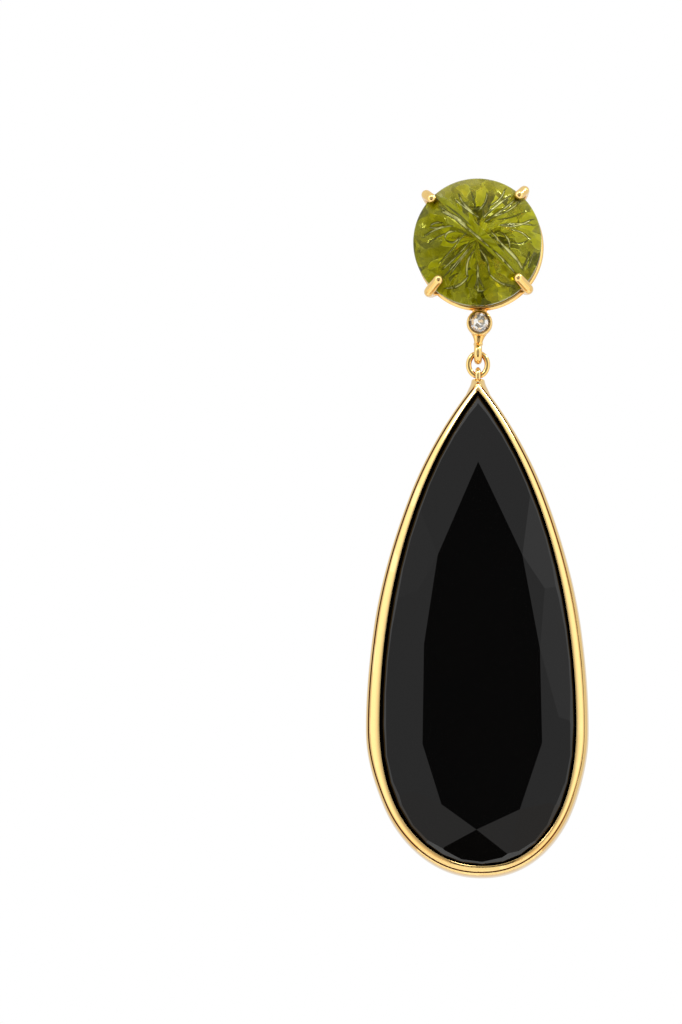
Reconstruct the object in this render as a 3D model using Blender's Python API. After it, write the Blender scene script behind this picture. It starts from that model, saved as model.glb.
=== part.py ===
"""Drop earring: a carved green stone in four claws, a small round diamond in a cup,
a jump ring, and a large faceted black pear in a gold bezel.

Metres, +Z up. The front faces -Y. The origin is on the ear post, in the plane of the
setting's back that lies against the ear lobe. The drop hangs straight down.
"""
import math

import bmesh
import bpy
from mathutils import Matrix, Vector

mm = 0.001

# Fits and gaps
stone_gap = 0.07 * mm
link_gap = 0.06 * mm
link_slack = 0.02 * mm
post_gap = 0.08 * mm
cut_margin = 0.2 * mm
weld_distance = 0.001 * mm
cut_tolerance = 0.0001 * mm

# Carved stone
carved_radius = 5.98 * mm
carved_girdle_thickness = 0.5 * mm
carved_bevel_width = 0.75 * mm
carved_bevel_rise = 0.7 * mm
carved_dome_rise = 1.6 * mm
carved_back_depth = 3.7 * mm
carved_back_taper = 4.2 * mm
carved_rings = 17
carved_turns = 104

# Carving: four petals along the diagonals, each with a raised midrib.
# Its widths and lengths are shares of the stone's radius.
midrib_share = 0.07
petal_width_share = 0.293
petal_start_share = 0.134
petal_end_share = 1.037
groove_share = 0.068
carved_centre_share = 0.2
midrib_height = 0.1 * mm
midrib_groove_depth = 0.3 * mm
petal_swell = 0.2 * mm
petal_edge_depth = 0.36 * mm
vein_depth = 0.14 * mm
vein_count = 3

# Claw setting
claw_wire_radius = 0.45 * mm
claw_reach = 2.0 * mm
claw_rise = 3.55 * mm
claw_bow = 0.3 * mm
claw_bend_start = 1.3 * mm
claw_bend_end = 2.2 * mm
claw_bent_slope = 0.5
gallery_overhang = 0.02 * mm
gallery_wire_radius = 0.38 * mm
gallery_rise = 2.3 * mm
gallery_shift_x = 0.15 * mm
basket_taper = 1.5 * mm
base_ring_wire_radius = 0.42 * mm
base_ring_inset = 0.05 * mm
back_bar_width = 2.4 * mm
back_bar_thickness = 0.9 * mm

# Claws: degrees round from the right, up over the top, and share of claw_reach
claws = [
    ("upper_right", 47.5, 0.60),
    ("upper_left", 137.0, 0.575),
    ("lower_left", 226.0, 1.0),
    ("lower_right", 316.8, 0.975),
]

# Ear post and its socket
post_radius = 0.42 * mm
post_length = 10.5 * mm
post_notch_from_end = 1.6 * mm
post_notch_depth = 0.12 * mm
post_notch_half_width = 0.15 * mm
post_notch_slope = 0.2 * mm
post_tip_length = 0.35 * mm
socket_depth = 1.2 * mm
socket_wall = 0.5 * mm
socket_floor = 0.4 * mm

# Small diamond and its cup
diamond_radius = 0.94 * mm
diamond_table_radius = 0.52 * mm
diamond_crown_rise = 0.3 * mm
diamond_girdle = 0.06 * mm
diamond_depth = 0.72 * mm
diamond_star_ease = 0.62
cup_outer_radius = 1.21 * mm
cup_lip_overlap = 0.02 * mm
cup_lip_depth = 0.12 * mm
cup_depth = 1.8 * mm
cup_wall_height = 1.0 * mm
cup_edge_round = 0.24 * mm
cup_bore_depth = 0.3 * mm
cup_seat_slope = 0.85
cup_before_loop = 0.95 * mm
cup_back_radius = 0.85 * mm
cup_seat_radius = 0.42 * mm

# Hanging loop, jump ring and eyelet
hang_before_gallery = 0.2 * mm
jump_wire_radius = 0.23 * mm
jump_outer_width = 2.2 * mm
jump_outer_height = 2.56 * mm
loop_wire_radius = 0.37 * mm
loop_neck_length = 2.1 * mm
eyelet_wire_radius = 0.25 * mm
neck_top_width = 1.2 * mm
neck_top_depth = 1.3 * mm
neck_foot_width = 1.26 * mm
neck_foot_depth = 3.4 * mm
neck_drop_to_tip = 1.2 * mm

# Pear outline, as the front lip's inner edge shows it
pear_length = 44.5 * mm
pear_width = 18.3 * mm
pear_widest_share = 0.702
pear_side_arc = 0.8
pear_bottom_power = 2.16
pear_lean = 0.32 * mm
longest_mitre = 3.3
side_steps = 18
bottom_steps = 13

# Gold bezel round the pear
lip_width = 0.78 * mm
lip_uneven_share = 0.17
flare_width = 0.42 * mm
bezel_depth = 3.6 * mm
bezel_before_eyelet = 1.4 * mm
lip_drop = 0.28 * mm
groove_y_depth = 0.52 * mm
groove_step = 0.09 * mm
lip_round = 0.2 * mm
back_round = 0.25 * mm
ledge_reach = 0.75 * mm
ledge_thickness = 0.8 * mm

# Black pear stone
onyx_under_lip = 0.2 * mm
onyx_table_rise = 1.2 * mm
onyx_bevel_width = 0.5 * mm
onyx_bevel_angle = math.radians(50)
onyx_back_bevel = 0.5 * mm
star_ease = 0.74
onyx_side_steps = 12
onyx_bottom_steps = 8

# Corners of the table: share of the pear's length from its tip, share of its half width
table_corners = [
    ("top", 0.153, 0.003),
    ("upper_right", 0.349, 0.450),
    ("right", 0.546, 0.626),
    ("lower_right", 0.742, 0.646),
    ("foot_right", 0.881, 0.419),
    ("foot", 0.923, -0.020),
    ("foot_left", 0.870, -0.374),
    ("lower_left", 0.744, -0.565),
    ("left", 0.536, -0.549),
    ("upper_left", 0.349, -0.409),
]

# The bezel along the pear: share of its length from the tip, shares of lip_width and
# flare_width
bezel_sections = [
    ("tip", 0.0, 0.54, 0.80),
    ("shoulder", 0.23, 0.69, 0.90),
    ("side", 0.5, 0.90, 1.0),
    ("widest", 0.72, 1.0, 1.0),
    ("turn", 0.86, 0.66, 1.0),
    ("foot", 1.0, 0.50, 0.95),
]

# Places worked out from the sizes above
back_plane_y = 0.0
gallery_y = back_plane_y - gallery_rise
hang_y = gallery_y - hang_before_gallery
cup_front_y = hang_y - cup_before_loop
bezel_front_y = hang_y - bezel_before_eyelet
carved_girdle_y = gallery_y - claw_rise
carved_back_radius = carved_radius - carved_back_taper
midrib_half_width = carved_radius * midrib_share
petal_half_width = carved_radius * petal_width_share
petal_start = carved_radius * petal_start_share
petal_end = carved_radius * petal_end_share
groove_width = carved_radius * groove_share
gallery_radius = carved_radius + gallery_overhang - gallery_wire_radius
base_ring_radius = gallery_radius - basket_taper
carved_front_y = carved_girdle_y - carved_girdle_thickness / 2
carved_bevel_inner = carved_radius - carved_bevel_width
gallery_outer_radius = gallery_radius + gallery_wire_radius
cup_z = -(gallery_outer_radius + cup_outer_radius)
loop_hole_radius = jump_wire_radius + link_gap + link_slack
loop_radius = loop_hole_radius + loop_wire_radius
loop_z = cup_z - loop_neck_length - loop_radius
ring_pivot_z = loop_z - loop_radius
jump_half_height = jump_outer_height / 2 - jump_wire_radius
jump_half_width = jump_outer_width / 2 - jump_wire_radius
jump_top_z = ring_pivot_z + loop_wire_radius + link_gap + jump_wire_radius
jump_z = jump_top_z - jump_half_height
drop_pivot_z = jump_z - jump_half_height
eyelet_hole_radius = jump_wire_radius + link_gap + 1.5 * link_slack
eyelet_radius = eyelet_hole_radius + eyelet_wire_radius
neck_top_z = drop_pivot_z - eyelet_hole_radius - link_slack
pear_tip_z = neck_top_z - neck_drop_to_tip
pear_half_width = pear_width / 2
pear_upper = pear_length * pear_widest_share
pear_lower = pear_length - pear_upper
pear_widest_z = pear_tip_z - pear_upper
bezel_wall_offset = onyx_under_lip + stone_gap
lip_underside_depth = lip_drop + bezel_wall_offset * math.tan(onyx_bevel_angle)
onyx_edge_depth = (lip_drop + stone_gap / math.cos(onyx_bevel_angle)
                   + onyx_under_lip * math.tan(onyx_bevel_angle))
base_ring_y = back_plane_y - base_ring_wire_radius - base_ring_inset


def clear_scene():
    for old in list(bpy.data.objects):
        bpy.data.objects.remove(old, do_unlink=True)


def make_collection(name):
    collection = bpy.data.collections.new(name)
    bpy.context.scene.collection.children.link(collection)
    return collection


def make_material(name, colour, metallic, roughness, transmission=0.0, ior=1.5):
    material = bpy.data.materials.new(name)
    material.use_nodes = True
    shader = material.node_tree.nodes["Principled BSDF"]
    shader.inputs["Base Color"].default_value = (*colour, 1.0)
    shader.inputs["Metallic"].default_value = metallic
    shader.inputs["Roughness"].default_value = roughness
    shader.inputs["Transmission Weight"].default_value = transmission
    shader.inputs["IOR"].default_value = ior
    material.diffuse_color = (*colour, 1.0)
    return material


clear_scene()
earring = make_collection("drop_earring")
cutters = make_collection("drop_earring_cutters")


def add_object(name, mesh, material=None):
    """A finished piece goes in the earring, and a cutter or a shape to join goes apart."""
    thing = bpy.data.objects.new(name, mesh)
    if material is None:
        cutters.objects.link(thing)
        thing.hide_render = True
        thing.display_type = "WIRE"
    else:
        earring.objects.link(thing)
        thing.data.materials.clear()
        thing.data.materials.append(material)
    return thing


def to_mesh(bm, name, smooth_angle=None):
    """Triangles throughout, because the joined shapes have to be exactly flat-faced."""
    bmesh.ops.recalc_face_normals(bm, faces=bm.faces)
    bmesh.ops.triangulate(bm, faces=bm.faces)
    mesh = bpy.data.meshes.new(name)
    bm.to_mesh(mesh)
    bm.free()
    if smooth_angle is not None:
        mesh.shade_smooth()
        mesh.set_sharp_from_angle(angle=smooth_angle)
    return mesh


def boolean(target, other, operation):
    step = target.modifiers.new(other.name, "BOOLEAN")
    step.operation = operation
    step.solver = "EXACT"
    step.object = other


def wire_mesh(name, points, radius, closed=False, tip_radii=None):
    """A round wire through the points, with its end caps welded on."""
    curve = bpy.data.curves.new(name, "CURVE")
    curve.dimensions = "3D"
    curve.bevel_depth = radius
    curve.bevel_resolution = 2
    curve.use_fill_caps = not closed
    spline = curve.splines.new("POLY")
    spline.points.add(len(points) - 1)
    for index, point in enumerate(points):
        spline.points[index].co = (*point, 1.0)
        spline.points[index].radius = tip_radii[index] if tip_radii else 1.0
    spline.use_cyclic_u = closed
    guide = bpy.data.objects.new(name, curve)
    cutters.objects.link(guide)
    evaluated = guide.evaluated_get(bpy.context.evaluated_depsgraph_get())
    mesh = bpy.data.meshes.new_from_object(evaluated)
    bpy.data.objects.remove(guide, do_unlink=True)
    bm = bmesh.new()
    bm.from_mesh(mesh)
    bmesh.ops.remove_doubles(bm, verts=bm.verts, dist=weld_distance)
    return to_mesh(bm, name)


def turned_mesh(name, profile, turns, place):
    """A (radius, height) profile spun about Z, then moved by the place matrix."""
    bm = bmesh.new()
    corners = [bm.verts.new((radius, 0.0, height)) for radius, height in profile]
    edges = [bm.edges.new(pair) for pair in zip(corners, corners[1:])]
    if profile[0][0] > 0.0:
        edges.append(bm.edges.new((corners[-1], corners[0])))
    bmesh.ops.spin(bm, geom=corners + edges, cent=(0, 0, 0), axis=(0, 0, 1),
                   angle=math.tau, steps=turns, use_merge=True)
    bmesh.ops.remove_doubles(bm, verts=bm.verts, dist=weld_distance)
    bmesh.ops.transform(bm, matrix=place, verts=bm.verts)
    return to_mesh(bm, name)


# The profile's height points along -Y, towards the front, or along +Y, away from it
facing_front = Matrix.Rotation(math.radians(90), 4, "X")
facing_back = Matrix.Rotation(math.radians(-90), 4, "X")


def circle_yz(centre_z, radius, steps):
    turns = [math.tau * step / steps for step in range(steps)]
    return [(0.0, hang_y + radius * math.sin(a), centre_z + radius * math.cos(a)) for a in turns]


def circle_xz(centre, radius, steps):
    turns = [math.tau * (step + 0.5) / steps for step in range(steps)]
    return [(centre[0] + radius * math.cos(a), centre[1], centre[2] + radius * math.sin(a))
            for a in turns]


def smooth_share(value, low, high):
    share = min(max((value - low) / (high - low), 0.0), 1.0)
    return share * share * (3.0 - 2.0 * share)


def groove(distance):
    return math.exp(-((distance / groove_width) ** 2))


def carving(x, z):
    """Height of the carving over the dome at a point: petals, midribs and veins."""
    radius = math.hypot(x, z)
    along = (abs(x) + abs(z)) * math.sqrt(0.5)
    across = abs(abs(x) - abs(z)) * math.sqrt(0.5)
    share = min(max((along - petal_start) / (petal_end - petal_start), 0.0), 1.0)
    edge = petal_half_width * math.sin(math.pi * share ** 0.85)
    inside = smooth_share(edge - across, 0.0, 2.0 * groove_width)
    open_edge = smooth_share(edge, midrib_half_width, 2.0 * midrib_half_width)
    veined = (1.0 - inside) * smooth_share(radius, petal_start, 3.0 * petal_start)
    turn = math.atan2(across, along) - math.radians(45)
    height = petal_swell * inside - petal_edge_depth * open_edge * groove(across - edge)
    height += midrib_height * (1.0 - smooth_share(across, 0.6 * midrib_half_width,
                                                  1.2 * midrib_half_width))
    height -= midrib_groove_depth * groove(across - midrib_half_width - 0.5 * groove_width)
    height -= veined * vein_depth * (1.0 + math.cos(turn * 8 * vein_count)) / 2
    rim_fade = 1.0 - smooth_share(radius, 0.86 * carved_bevel_inner, carved_bevel_inner)
    centre_fade = 0.35 + 0.65 * smooth_share(radius, 0.0, carved_radius * carved_centre_share)
    return height * rim_fade * centre_fade


def make_carved_stone(material):
    dome_foot_y = carved_front_y - carved_bevel_rise
    profile = []
    for ring in range(carved_rings + 1):
        share = ring / carved_rings
        profile.append((carved_bevel_inner * share,
                        -dome_foot_y + carved_dome_rise * (1.0 - share * share)))
    girdle_back = carved_girdle_y + carved_girdle_thickness / 2
    profile.append((carved_radius, -carved_front_y))
    profile.append((carved_radius, -girdle_back))
    profile.append((carved_back_radius, -girdle_back - carved_back_depth))
    profile.append((0.0, -girdle_back - carved_back_depth))
    mesh = turned_mesh("carved_peridot", profile, carved_turns, facing_front)
    for vertex in mesh.vertices:
        if vertex.co.y < dome_foot_y - weld_distance:
            vertex.co.y -= carving(vertex.co.x, vertex.co.z)
    mesh.shade_smooth()
    mesh.set_sharp_from_angle(angle=math.radians(40))
    return add_object("carved_peridot", mesh, material)


def claw_points(turn, reach):
    """Back to front: base ring, gallery, the stone's edge, over its bevelled rim, the dome."""
    stand_off = claw_wire_radius + stone_gap
    edge_radius = carved_radius + stand_off
    girdle_back = carved_girdle_y + carved_girdle_thickness / 2
    path = [(base_ring_radius + claw_bow / 6, base_ring_y),
            ((base_ring_radius + gallery_radius) / 2 + claw_bow, (base_ring_y + gallery_y) / 2),
            (gallery_radius + claw_bow / 2, gallery_y),
            ((gallery_radius + edge_radius) / 2 + claw_bow * 2 / 3,
             (gallery_y + girdle_back) / 2),
            (edge_radius, girdle_back),
            (edge_radius, carved_front_y)]
    rim_angle = math.atan2(carved_bevel_width, carved_bevel_rise)
    for step in range(1, 5):
        angle = rim_angle * step / 4
        path.append((carved_radius + stand_off * math.cos(angle),
                     carved_front_y - stand_off * math.sin(angle)))
    rim_slope = Vector((-carved_bevel_width, -carved_bevel_rise)).normalized()
    dome_slope = Vector((-1.0, -claw_bent_slope)).normalized()
    place = Vector(path[-1])
    radii = [1.0] * len(path)
    tip_start = reach - claw_wire_radius
    lengths = [tip_start * step / 4 for step in range(1, 4)]
    lengths += [tip_start + claw_wire_radius * share
                for share in (0.0, 0.35, 0.62, 0.84, 0.96, 1.0)]
    for before, length in zip([0.0, *lengths], lengths):
        bend = smooth_share(length, claw_bend_start, claw_bend_end)
        place += rim_slope.lerp(dome_slope, bend).normalized() * (length - before)
        path.append(tuple(place))
        rounding = max(length - tip_start, 0.0) / claw_wire_radius
        radii.append(math.sqrt(max(1.0 - rounding * rounding, 0.04)))
    points = [(radius * math.cos(turn), y, radius * math.sin(turn)) for radius, y in path]
    return points, radii


def make_cup_mesh():
    """The diamond's cup before its seat is cut: a rounded lip and a tapering back."""
    front = -cup_front_y
    profile = [(0.0, front),
               (cup_outer_radius - cup_edge_round, front),
               (cup_outer_radius - cup_edge_round / 3, front - cup_edge_round / 5),
               (cup_outer_radius, front - cup_edge_round * 3 / 4),
               (cup_outer_radius, front - cup_wall_height),
               (cup_back_radius, front - cup_depth),
               (0.0, front - cup_depth)]
    place = Matrix.Translation((gallery_shift_x, 0.0, cup_z)) @ facing_front
    return turned_mesh("cup", profile, 24, place)


def make_seat_mesh():
    """What is cut from the cup: the lip's opening, the bore, the seat and its hole."""
    bore = diamond_radius + stone_gap
    lip_inner = diamond_radius - cup_lip_overlap
    front = -cup_front_y
    bore_end = front - cup_lip_depth - cup_bore_depth
    profile = [(0.0, front + cut_margin),
               (lip_inner, front + cut_margin),
               (lip_inner, front - cup_lip_depth),
               (bore, front - cup_lip_depth),
               (bore, bore_end),
               (cup_seat_radius, bore_end - cup_seat_slope * (bore - cup_seat_radius)),
               (cup_seat_radius, front - cup_depth - cut_margin),
               (0.0, front - cup_depth - cut_margin)]
    place = Matrix.Translation((gallery_shift_x, 0.0, cup_z)) @ facing_front
    return turned_mesh("diamond_seat", profile, 24, place)


def make_taper_mesh(name, foot, head, sides=16):
    """An oval taper between two ends: each has a centre, a width and a depth."""
    bm = bmesh.new()
    height = head["z"] - foot["z"]
    bmesh.ops.create_cone(bm, cap_ends=True, segments=sides, radius1=0.5, radius2=0.5,
                          depth=height)
    for vertex in bm.verts:
        end = head if vertex.co.z > 0.0 else foot
        vertex.co = Vector((end["x"] + vertex.co.x * end["width"],
                            end["y"] + vertex.co.y * end["depth"], end["z"]))
    return to_mesh(bm, name)


def make_box_mesh(name, low, high):
    bm = bmesh.new()
    bmesh.ops.create_cube(bm, size=1.0)
    size = Vector(high) - Vector(low)
    bmesh.ops.scale(bm, vec=size, verts=bm.verts)
    bmesh.ops.translate(bm, vec=(Vector(high) + Vector(low)) / 2, verts=bm.verts)
    return to_mesh(bm, name)


def make_claw_setting(material):
    """Claws, gallery, base ring, back bar, cup and loop are soldered into one solid."""
    gallery = circle_xz((gallery_shift_x, gallery_y, 0.0), gallery_radius, 48)
    setting = add_object("claw_setting", wire_mesh("claw_setting", gallery, gallery_wire_radius,
                                                   closed=True), material)
    base = circle_xz((0.0, base_ring_y, 0.0), base_ring_radius, 36)
    joined = [add_object("base_ring", wire_mesh("base_ring", base, base_ring_wire_radius,
                                                closed=True))]
    for place, degrees, share in claws:
        points, radii = claw_points(math.radians(degrees), claw_reach * share)
        name = f"claw_{place}"
        joined.append(add_object(name, wire_mesh(name, points, claw_wire_radius,
                                                 tip_radii=radii)))
    bar_reach = base_ring_radius + base_ring_wire_radius / 2
    bar = make_box_mesh("back_bar", (-bar_reach, back_plane_y - back_bar_thickness,
                                     -back_bar_width / 2),
                        (bar_reach, back_plane_y, back_bar_width / 2))
    joined.append(add_object("back_bar", bar))
    boss_radius = post_radius + post_gap + socket_wall
    boss = turned_mesh("post_boss", [(0.0, back_plane_y - back_bar_thickness / 2),
                                     (boss_radius, back_plane_y - back_bar_thickness / 2),
                                     (boss_radius, back_plane_y - socket_depth - socket_floor),
                                     (0.0, back_plane_y - socket_depth - socket_floor)],
                       20, facing_back)
    joined.append(add_object("post_boss", boss))
    joined.append(add_object("cup", make_cup_mesh()))
    taper = make_taper_mesh("loop_taper",
                            {"x": 0.0, "y": hang_y, "z": loop_z + loop_radius,
                             "width": 2 * loop_wire_radius, "depth": 2 * loop_wire_radius},
                            {"x": gallery_shift_x, "y": hang_y,
                             "z": cup_z - 0.55 * cup_outer_radius,
                             "width": 1.6 * cup_outer_radius, "depth": 1.3 * cup_outer_radius})
    joined.append(add_object("loop_taper", taper))
    loop = wire_mesh("hanging_loop", circle_yz(loop_z, loop_radius, 24), loop_wire_radius,
                     closed=True)
    joined.append(add_object("hanging_loop", loop))
    solder = make_taper_mesh("cup_solder",
                             {"x": gallery_shift_x, "y": gallery_y,
                              "z": cup_z + 0.86 * cup_outer_radius,
                              "width": cup_outer_radius, "depth": 0.6 * cup_outer_radius},
                             {"x": gallery_shift_x, "y": gallery_y, "z": -gallery_radius,
                              "width": 1.6 * cup_outer_radius,
                              "depth": 1.6 * gallery_wire_radius})
    joined.append(add_object("cup_solder", solder))
    for part in joined:
        boolean(setting, part, "UNION")
    # The post's bore and the diamond's seat are cut last, so nothing soldered fills them
    bore = turned_mesh("post_bore", [(0.0, back_plane_y - socket_depth),
                                     (post_radius + post_gap, back_plane_y - socket_depth),
                                     (post_radius + post_gap, back_plane_y + cut_margin),
                                     (0.0, back_plane_y + cut_margin)], 20, facing_back)
    boolean(setting, add_object("post_bore", bore), "DIFFERENCE")
    boolean(setting, add_object("diamond_seat", make_seat_mesh()), "DIFFERENCE")
    return setting


def make_ear_post(material):
    root = back_plane_y - socket_depth + post_gap
    end = back_plane_y + post_length
    notch = end - post_notch_from_end
    notch_reach = post_notch_half_width + post_notch_slope
    profile = [(0.0, root),
               (post_radius, root),
               (post_radius, notch - notch_reach),
               (post_radius - post_notch_depth, notch - post_notch_half_width),
               (post_radius - post_notch_depth, notch + post_notch_half_width),
               (post_radius, notch + notch_reach),
               (post_radius, end - post_tip_length),
               (post_radius * 0.75, end - post_tip_length * 0.3),
               (post_radius * 0.4, end),
               (0.0, end)]
    mesh = turned_mesh("ear_post", profile, 16, facing_back)
    return add_object("ear_post", mesh, material)


def make_jump_ring(material):
    turns = [math.tau * step / 16 for step in range(16)]
    points = [(jump_half_width * math.sin(a), hang_y, jump_z + jump_half_height * math.cos(a))
              for a in turns]
    curve_mesh = ring_mesh("jump_ring", points, jump_wire_radius, 6)
    return add_object("jump_ring", curve_mesh, material)


def ring_mesh(name, points, radius, sides):
    """A closed ring in the hanging plane whose wire has a few sides, bridged link by link."""
    bm = bmesh.new()
    loops = []
    for index, point in enumerate(points):
        ahead = Vector(points[(index + 1) % len(points)]) - Vector(points[index - 1])
        across = ahead.normalized().cross(Vector((0.0, 1.0, 0.0)))
        section = []
        for side in range(sides):
            turn = math.tau * (side + 0.5) / sides
            offset = across * math.cos(turn) + Vector((0.0, math.sin(turn), 0.0))
            section.append(bm.verts.new(Vector(point) + offset * radius))
        loops.append([bm.edges.new((section[side - 1], section[side]))
                      for side in range(sides)])
    for index, loop in enumerate(loops):
        bmesh.ops.bridge_loops(bm, edges=loops[index - 1] + loop)
    return to_mesh(bm, name, math.radians(50))


def pear_stations(side_count, bottom_count):
    """Outline stations down the right and up the left: place, outward way and shares.

    The side is an arc of an ellipse, and the foot is a slightly full ellipse.
    """
    half = []
    arc_end = math.asin(pear_side_arc)
    arc_share = 1.0 / (1.0 - math.cos(arc_end))
    for step in range(side_count):
        angle = arc_end * (1.0 - step / side_count)
        half.append((pear_half_width * (1.0 - arc_share * (1.0 - math.cos(angle))),
                     pear_widest_z + pear_upper * math.sin(angle) / pear_side_arc))
    for step in range(bottom_count + 1):
        angle = math.pi / 2 * step / bottom_count
        across = max(math.cos(angle), 0.0) ** (2.0 / pear_bottom_power)
        down = math.sin(angle) ** (2.0 / pear_bottom_power)
        half.append((pear_half_width * across, pear_widest_z - pear_lower * down))
    half[0] = (0.0, pear_tip_z)
    half[-1] = (0.0, pear_tip_z - pear_length)
    outline = half + [(-x, z) for x, z in reversed(half[1:-1])]
    stations = []
    for index, (x, z) in enumerate(outline):
        before = outline[index - 1]
        after = outline[(index + 1) % len(outline)]
        way = Vector((-(after[1] - z), after[0] - x)).normalized()
        way_before = Vector((-(z - before[1]), x - before[0])).normalized()
        middle = (way + way_before).normalized()
        stretch = min(1.0 / middle.dot(way), longest_mitre)
        below = max(pear_widest_z - z, 0.0) / pear_lower
        stations.append({"x": x + pear_lean * below * below, "z": z,
                         "way": middle * stretch,
                         "along": (pear_tip_z - z) / pear_length,
                         "side": x / pear_half_width})
    return stations


def offset_point(station, offset):
    return (station["x"] + station["way"][0] * offset,
            station["z"] + station["way"][1] * offset)


def bezel_at(station):
    """The lip's width and the wall's flare at a station. The lip is broader on the left."""
    lip, flare = bezel_sections[-1][2:]
    for (_, start, *low), (_, stop, *high) in zip(bezel_sections, bezel_sections[1:]):
        if start <= station["along"] <= stop:
            share = smooth_share(station["along"], start, stop)
            lip, flare = [a + (b - a) * share for a, b in zip(low, high)]
    return lip_width * lip * (1.0 - lip_uneven_share * station["side"]), flare_width * flare


def bezel_profile(lip, flare):
    """(outward offset, depth behind the lip's crest) round the bezel's section."""
    wall = bezel_wall_offset
    ledge = bezel_depth - ledge_thickness
    outer = lip + flare
    lip_side = lip - lip_round / 10
    return [(0.0, lip_drop),
            (lip_round * 0.3, lip_round / 2),
            (lip * 0.24 + lip_round / 4, 0.0),
            (lip * 0.72, lip_round / 10),
            (lip_side, lip_round),
            (lip_side, groove_y_depth),
            (lip + groove_step, groove_y_depth + lip_round / 2),
            (lip + (groove_step + flare) / 2, bezel_depth * 0.45),
            (outer, bezel_depth * 0.8),
            (outer - back_round / 8, bezel_depth - back_round),
            (outer - back_round, bezel_depth),
            (-ledge_reach + back_round, bezel_depth),
            (-ledge_reach, bezel_depth - back_round),
            (-ledge_reach, ledge),
            (wall, ledge),
            (wall, lip_underside_depth)]


def bezel_mesh():
    """The bezel's section lofted round the pear."""
    bm = bmesh.new()
    loops = []
    for station in pear_stations(side_steps, bottom_steps):
        section = []
        for offset, depth in bezel_profile(*bezel_at(station)):
            x, z = offset_point(station, offset)
            section.append(bm.verts.new((x, bezel_front_y + depth, z)))
        loops.append(section)
    for index, section in enumerate(loops):
        before = loops[index - 1]
        for step in range(len(section)):
            bm.faces.new((before[step - 1], before[step], section[step], section[step - 1]))
    return to_mesh(bm, "drop_bezel", math.radians(35))


def make_drop_bezel(material):
    """The lofted bezel, with the neck and the eyelet soldered to its tip."""
    bezel = add_object("drop_bezel", bezel_mesh(), material)
    tip = pear_stations(side_steps, bottom_steps)[0]
    foot_z = offset_point(tip, bezel_wall_offset + stone_gap)[1]
    neck = make_taper_mesh("bezel_neck",
                           {"x": 0.0, "y": bezel_front_y + bezel_depth / 2, "z": foot_z,
                            "width": neck_foot_width, "depth": neck_foot_depth},
                           {"x": 0.0, "y": hang_y, "z": neck_top_z, "width": neck_top_width,
                            "depth": neck_top_depth})
    boolean(bezel, add_object("bezel_neck", neck), "UNION")
    eyelet = wire_mesh("eyelet", circle_yz(drop_pivot_z, eyelet_radius, 20),
                       eyelet_wire_radius, closed=True)
    boolean(bezel, add_object("eyelet", eyelet), "UNION")
    return bezel


def cut_away(bm, place, way):
    """Cuts off what lies past a plane, and closes the cut with one facet."""
    geometry = bm.verts[:] + bm.edges[:] + bm.faces[:]
    result = bmesh.ops.bisect_plane(bm, geom=geometry, dist=cut_tolerance, plane_co=place,
                                    plane_no=way, clear_outer=True)
    rim = [piece for piece in result["geom_cut"] if isinstance(piece, bmesh.types.BMEdge)]
    if rim:
        bmesh.ops.edgeloop_fill(bm, edges=rim)


def make_onyx(material):
    """The pear as a prism, cut by its table, star facets, mains and narrow rim facets."""
    outline = pear_stations(onyx_side_steps, onyx_bottom_steps)
    back_y = bezel_front_y + bezel_depth - ledge_thickness - stone_gap
    table_y = bezel_front_y - onyx_table_rise
    bm = bmesh.new()
    rim = [bm.verts.new((x, back_y, z))
           for x, z in (offset_point(station, onyx_under_lip) for station in outline)]
    back = bm.faces.new(rim)
    raised = bmesh.ops.extrude_face_region(bm, geom=[back], use_keep_orig=True)
    front = [piece for piece in raised["geom"] if isinstance(piece, bmesh.types.BMVert)]
    bmesh.ops.translate(bm, vec=(0.0, table_y - back_y, 0.0), verts=front)
    bmesh.ops.recalc_face_normals(bm, faces=bm.faces)

    inner = [offset_point(station, -onyx_bevel_width) for station in outline]
    crown_foot_y = (bezel_front_y + onyx_edge_depth
                    - (onyx_under_lip + onyx_bevel_width) * math.tan(onyx_bevel_angle))
    rise = crown_foot_y - table_y
    corners = [(pear_half_width * share_x, pear_tip_z - pear_length * along)
               for _, along, share_x in table_corners]

    def facet(place, way, ease):
        """A crown facet through a table corner, falling towards the rim along the way."""
        reach = max((x - place[0]) * way[0] + (z - place[1]) * way[1] for x, z in inner)
        slope = ease * rise / reach
        cut_away(bm, (place[0], table_y, place[1]),
                 Vector((way[0] * slope, -1.0, way[1] * slope)).normalized())

    ways = []
    for index, corner in enumerate(corners):
        after = corners[(index + 1) % len(corners)]
        ways.append(Vector((-(after[1] - corner[1]), after[0] - corner[0])).normalized())
    for index, corner in enumerate(corners):
        if table_corners[index][0] != "top":
            facet(corner, (ways[index - 1] + ways[index]).normalized(), 1.0)
    for index, corner in enumerate(corners):
        beside_tip = index in (0, len(corners) - 1)
        facet(corner, ways[index], 1.0 if beside_tip else star_ease)

    for index, station in enumerate(outline):
        after = outline[(index + 1) % len(outline)]
        start = Vector(offset_point(station, onyx_under_lip))
        stop = Vector(offset_point(after, onyx_under_lip))
        way = Vector((-(stop - start)[1], (stop - start)[0])).normalized()
        steep = math.tan(onyx_bevel_angle)
        cut_away(bm, (start[0], bezel_front_y + onyx_edge_depth, start[1]),
                 Vector((way[0] * steep, -1.0, way[1] * steep)).normalized())
        cut_away(bm, (start[0], back_y - onyx_back_bevel, start[1]),
                 Vector((way[0], 1.0, way[1])).normalized())
    return add_object("faceted_onyx", to_mesh(bm, "faceted_onyx"), material)


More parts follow.
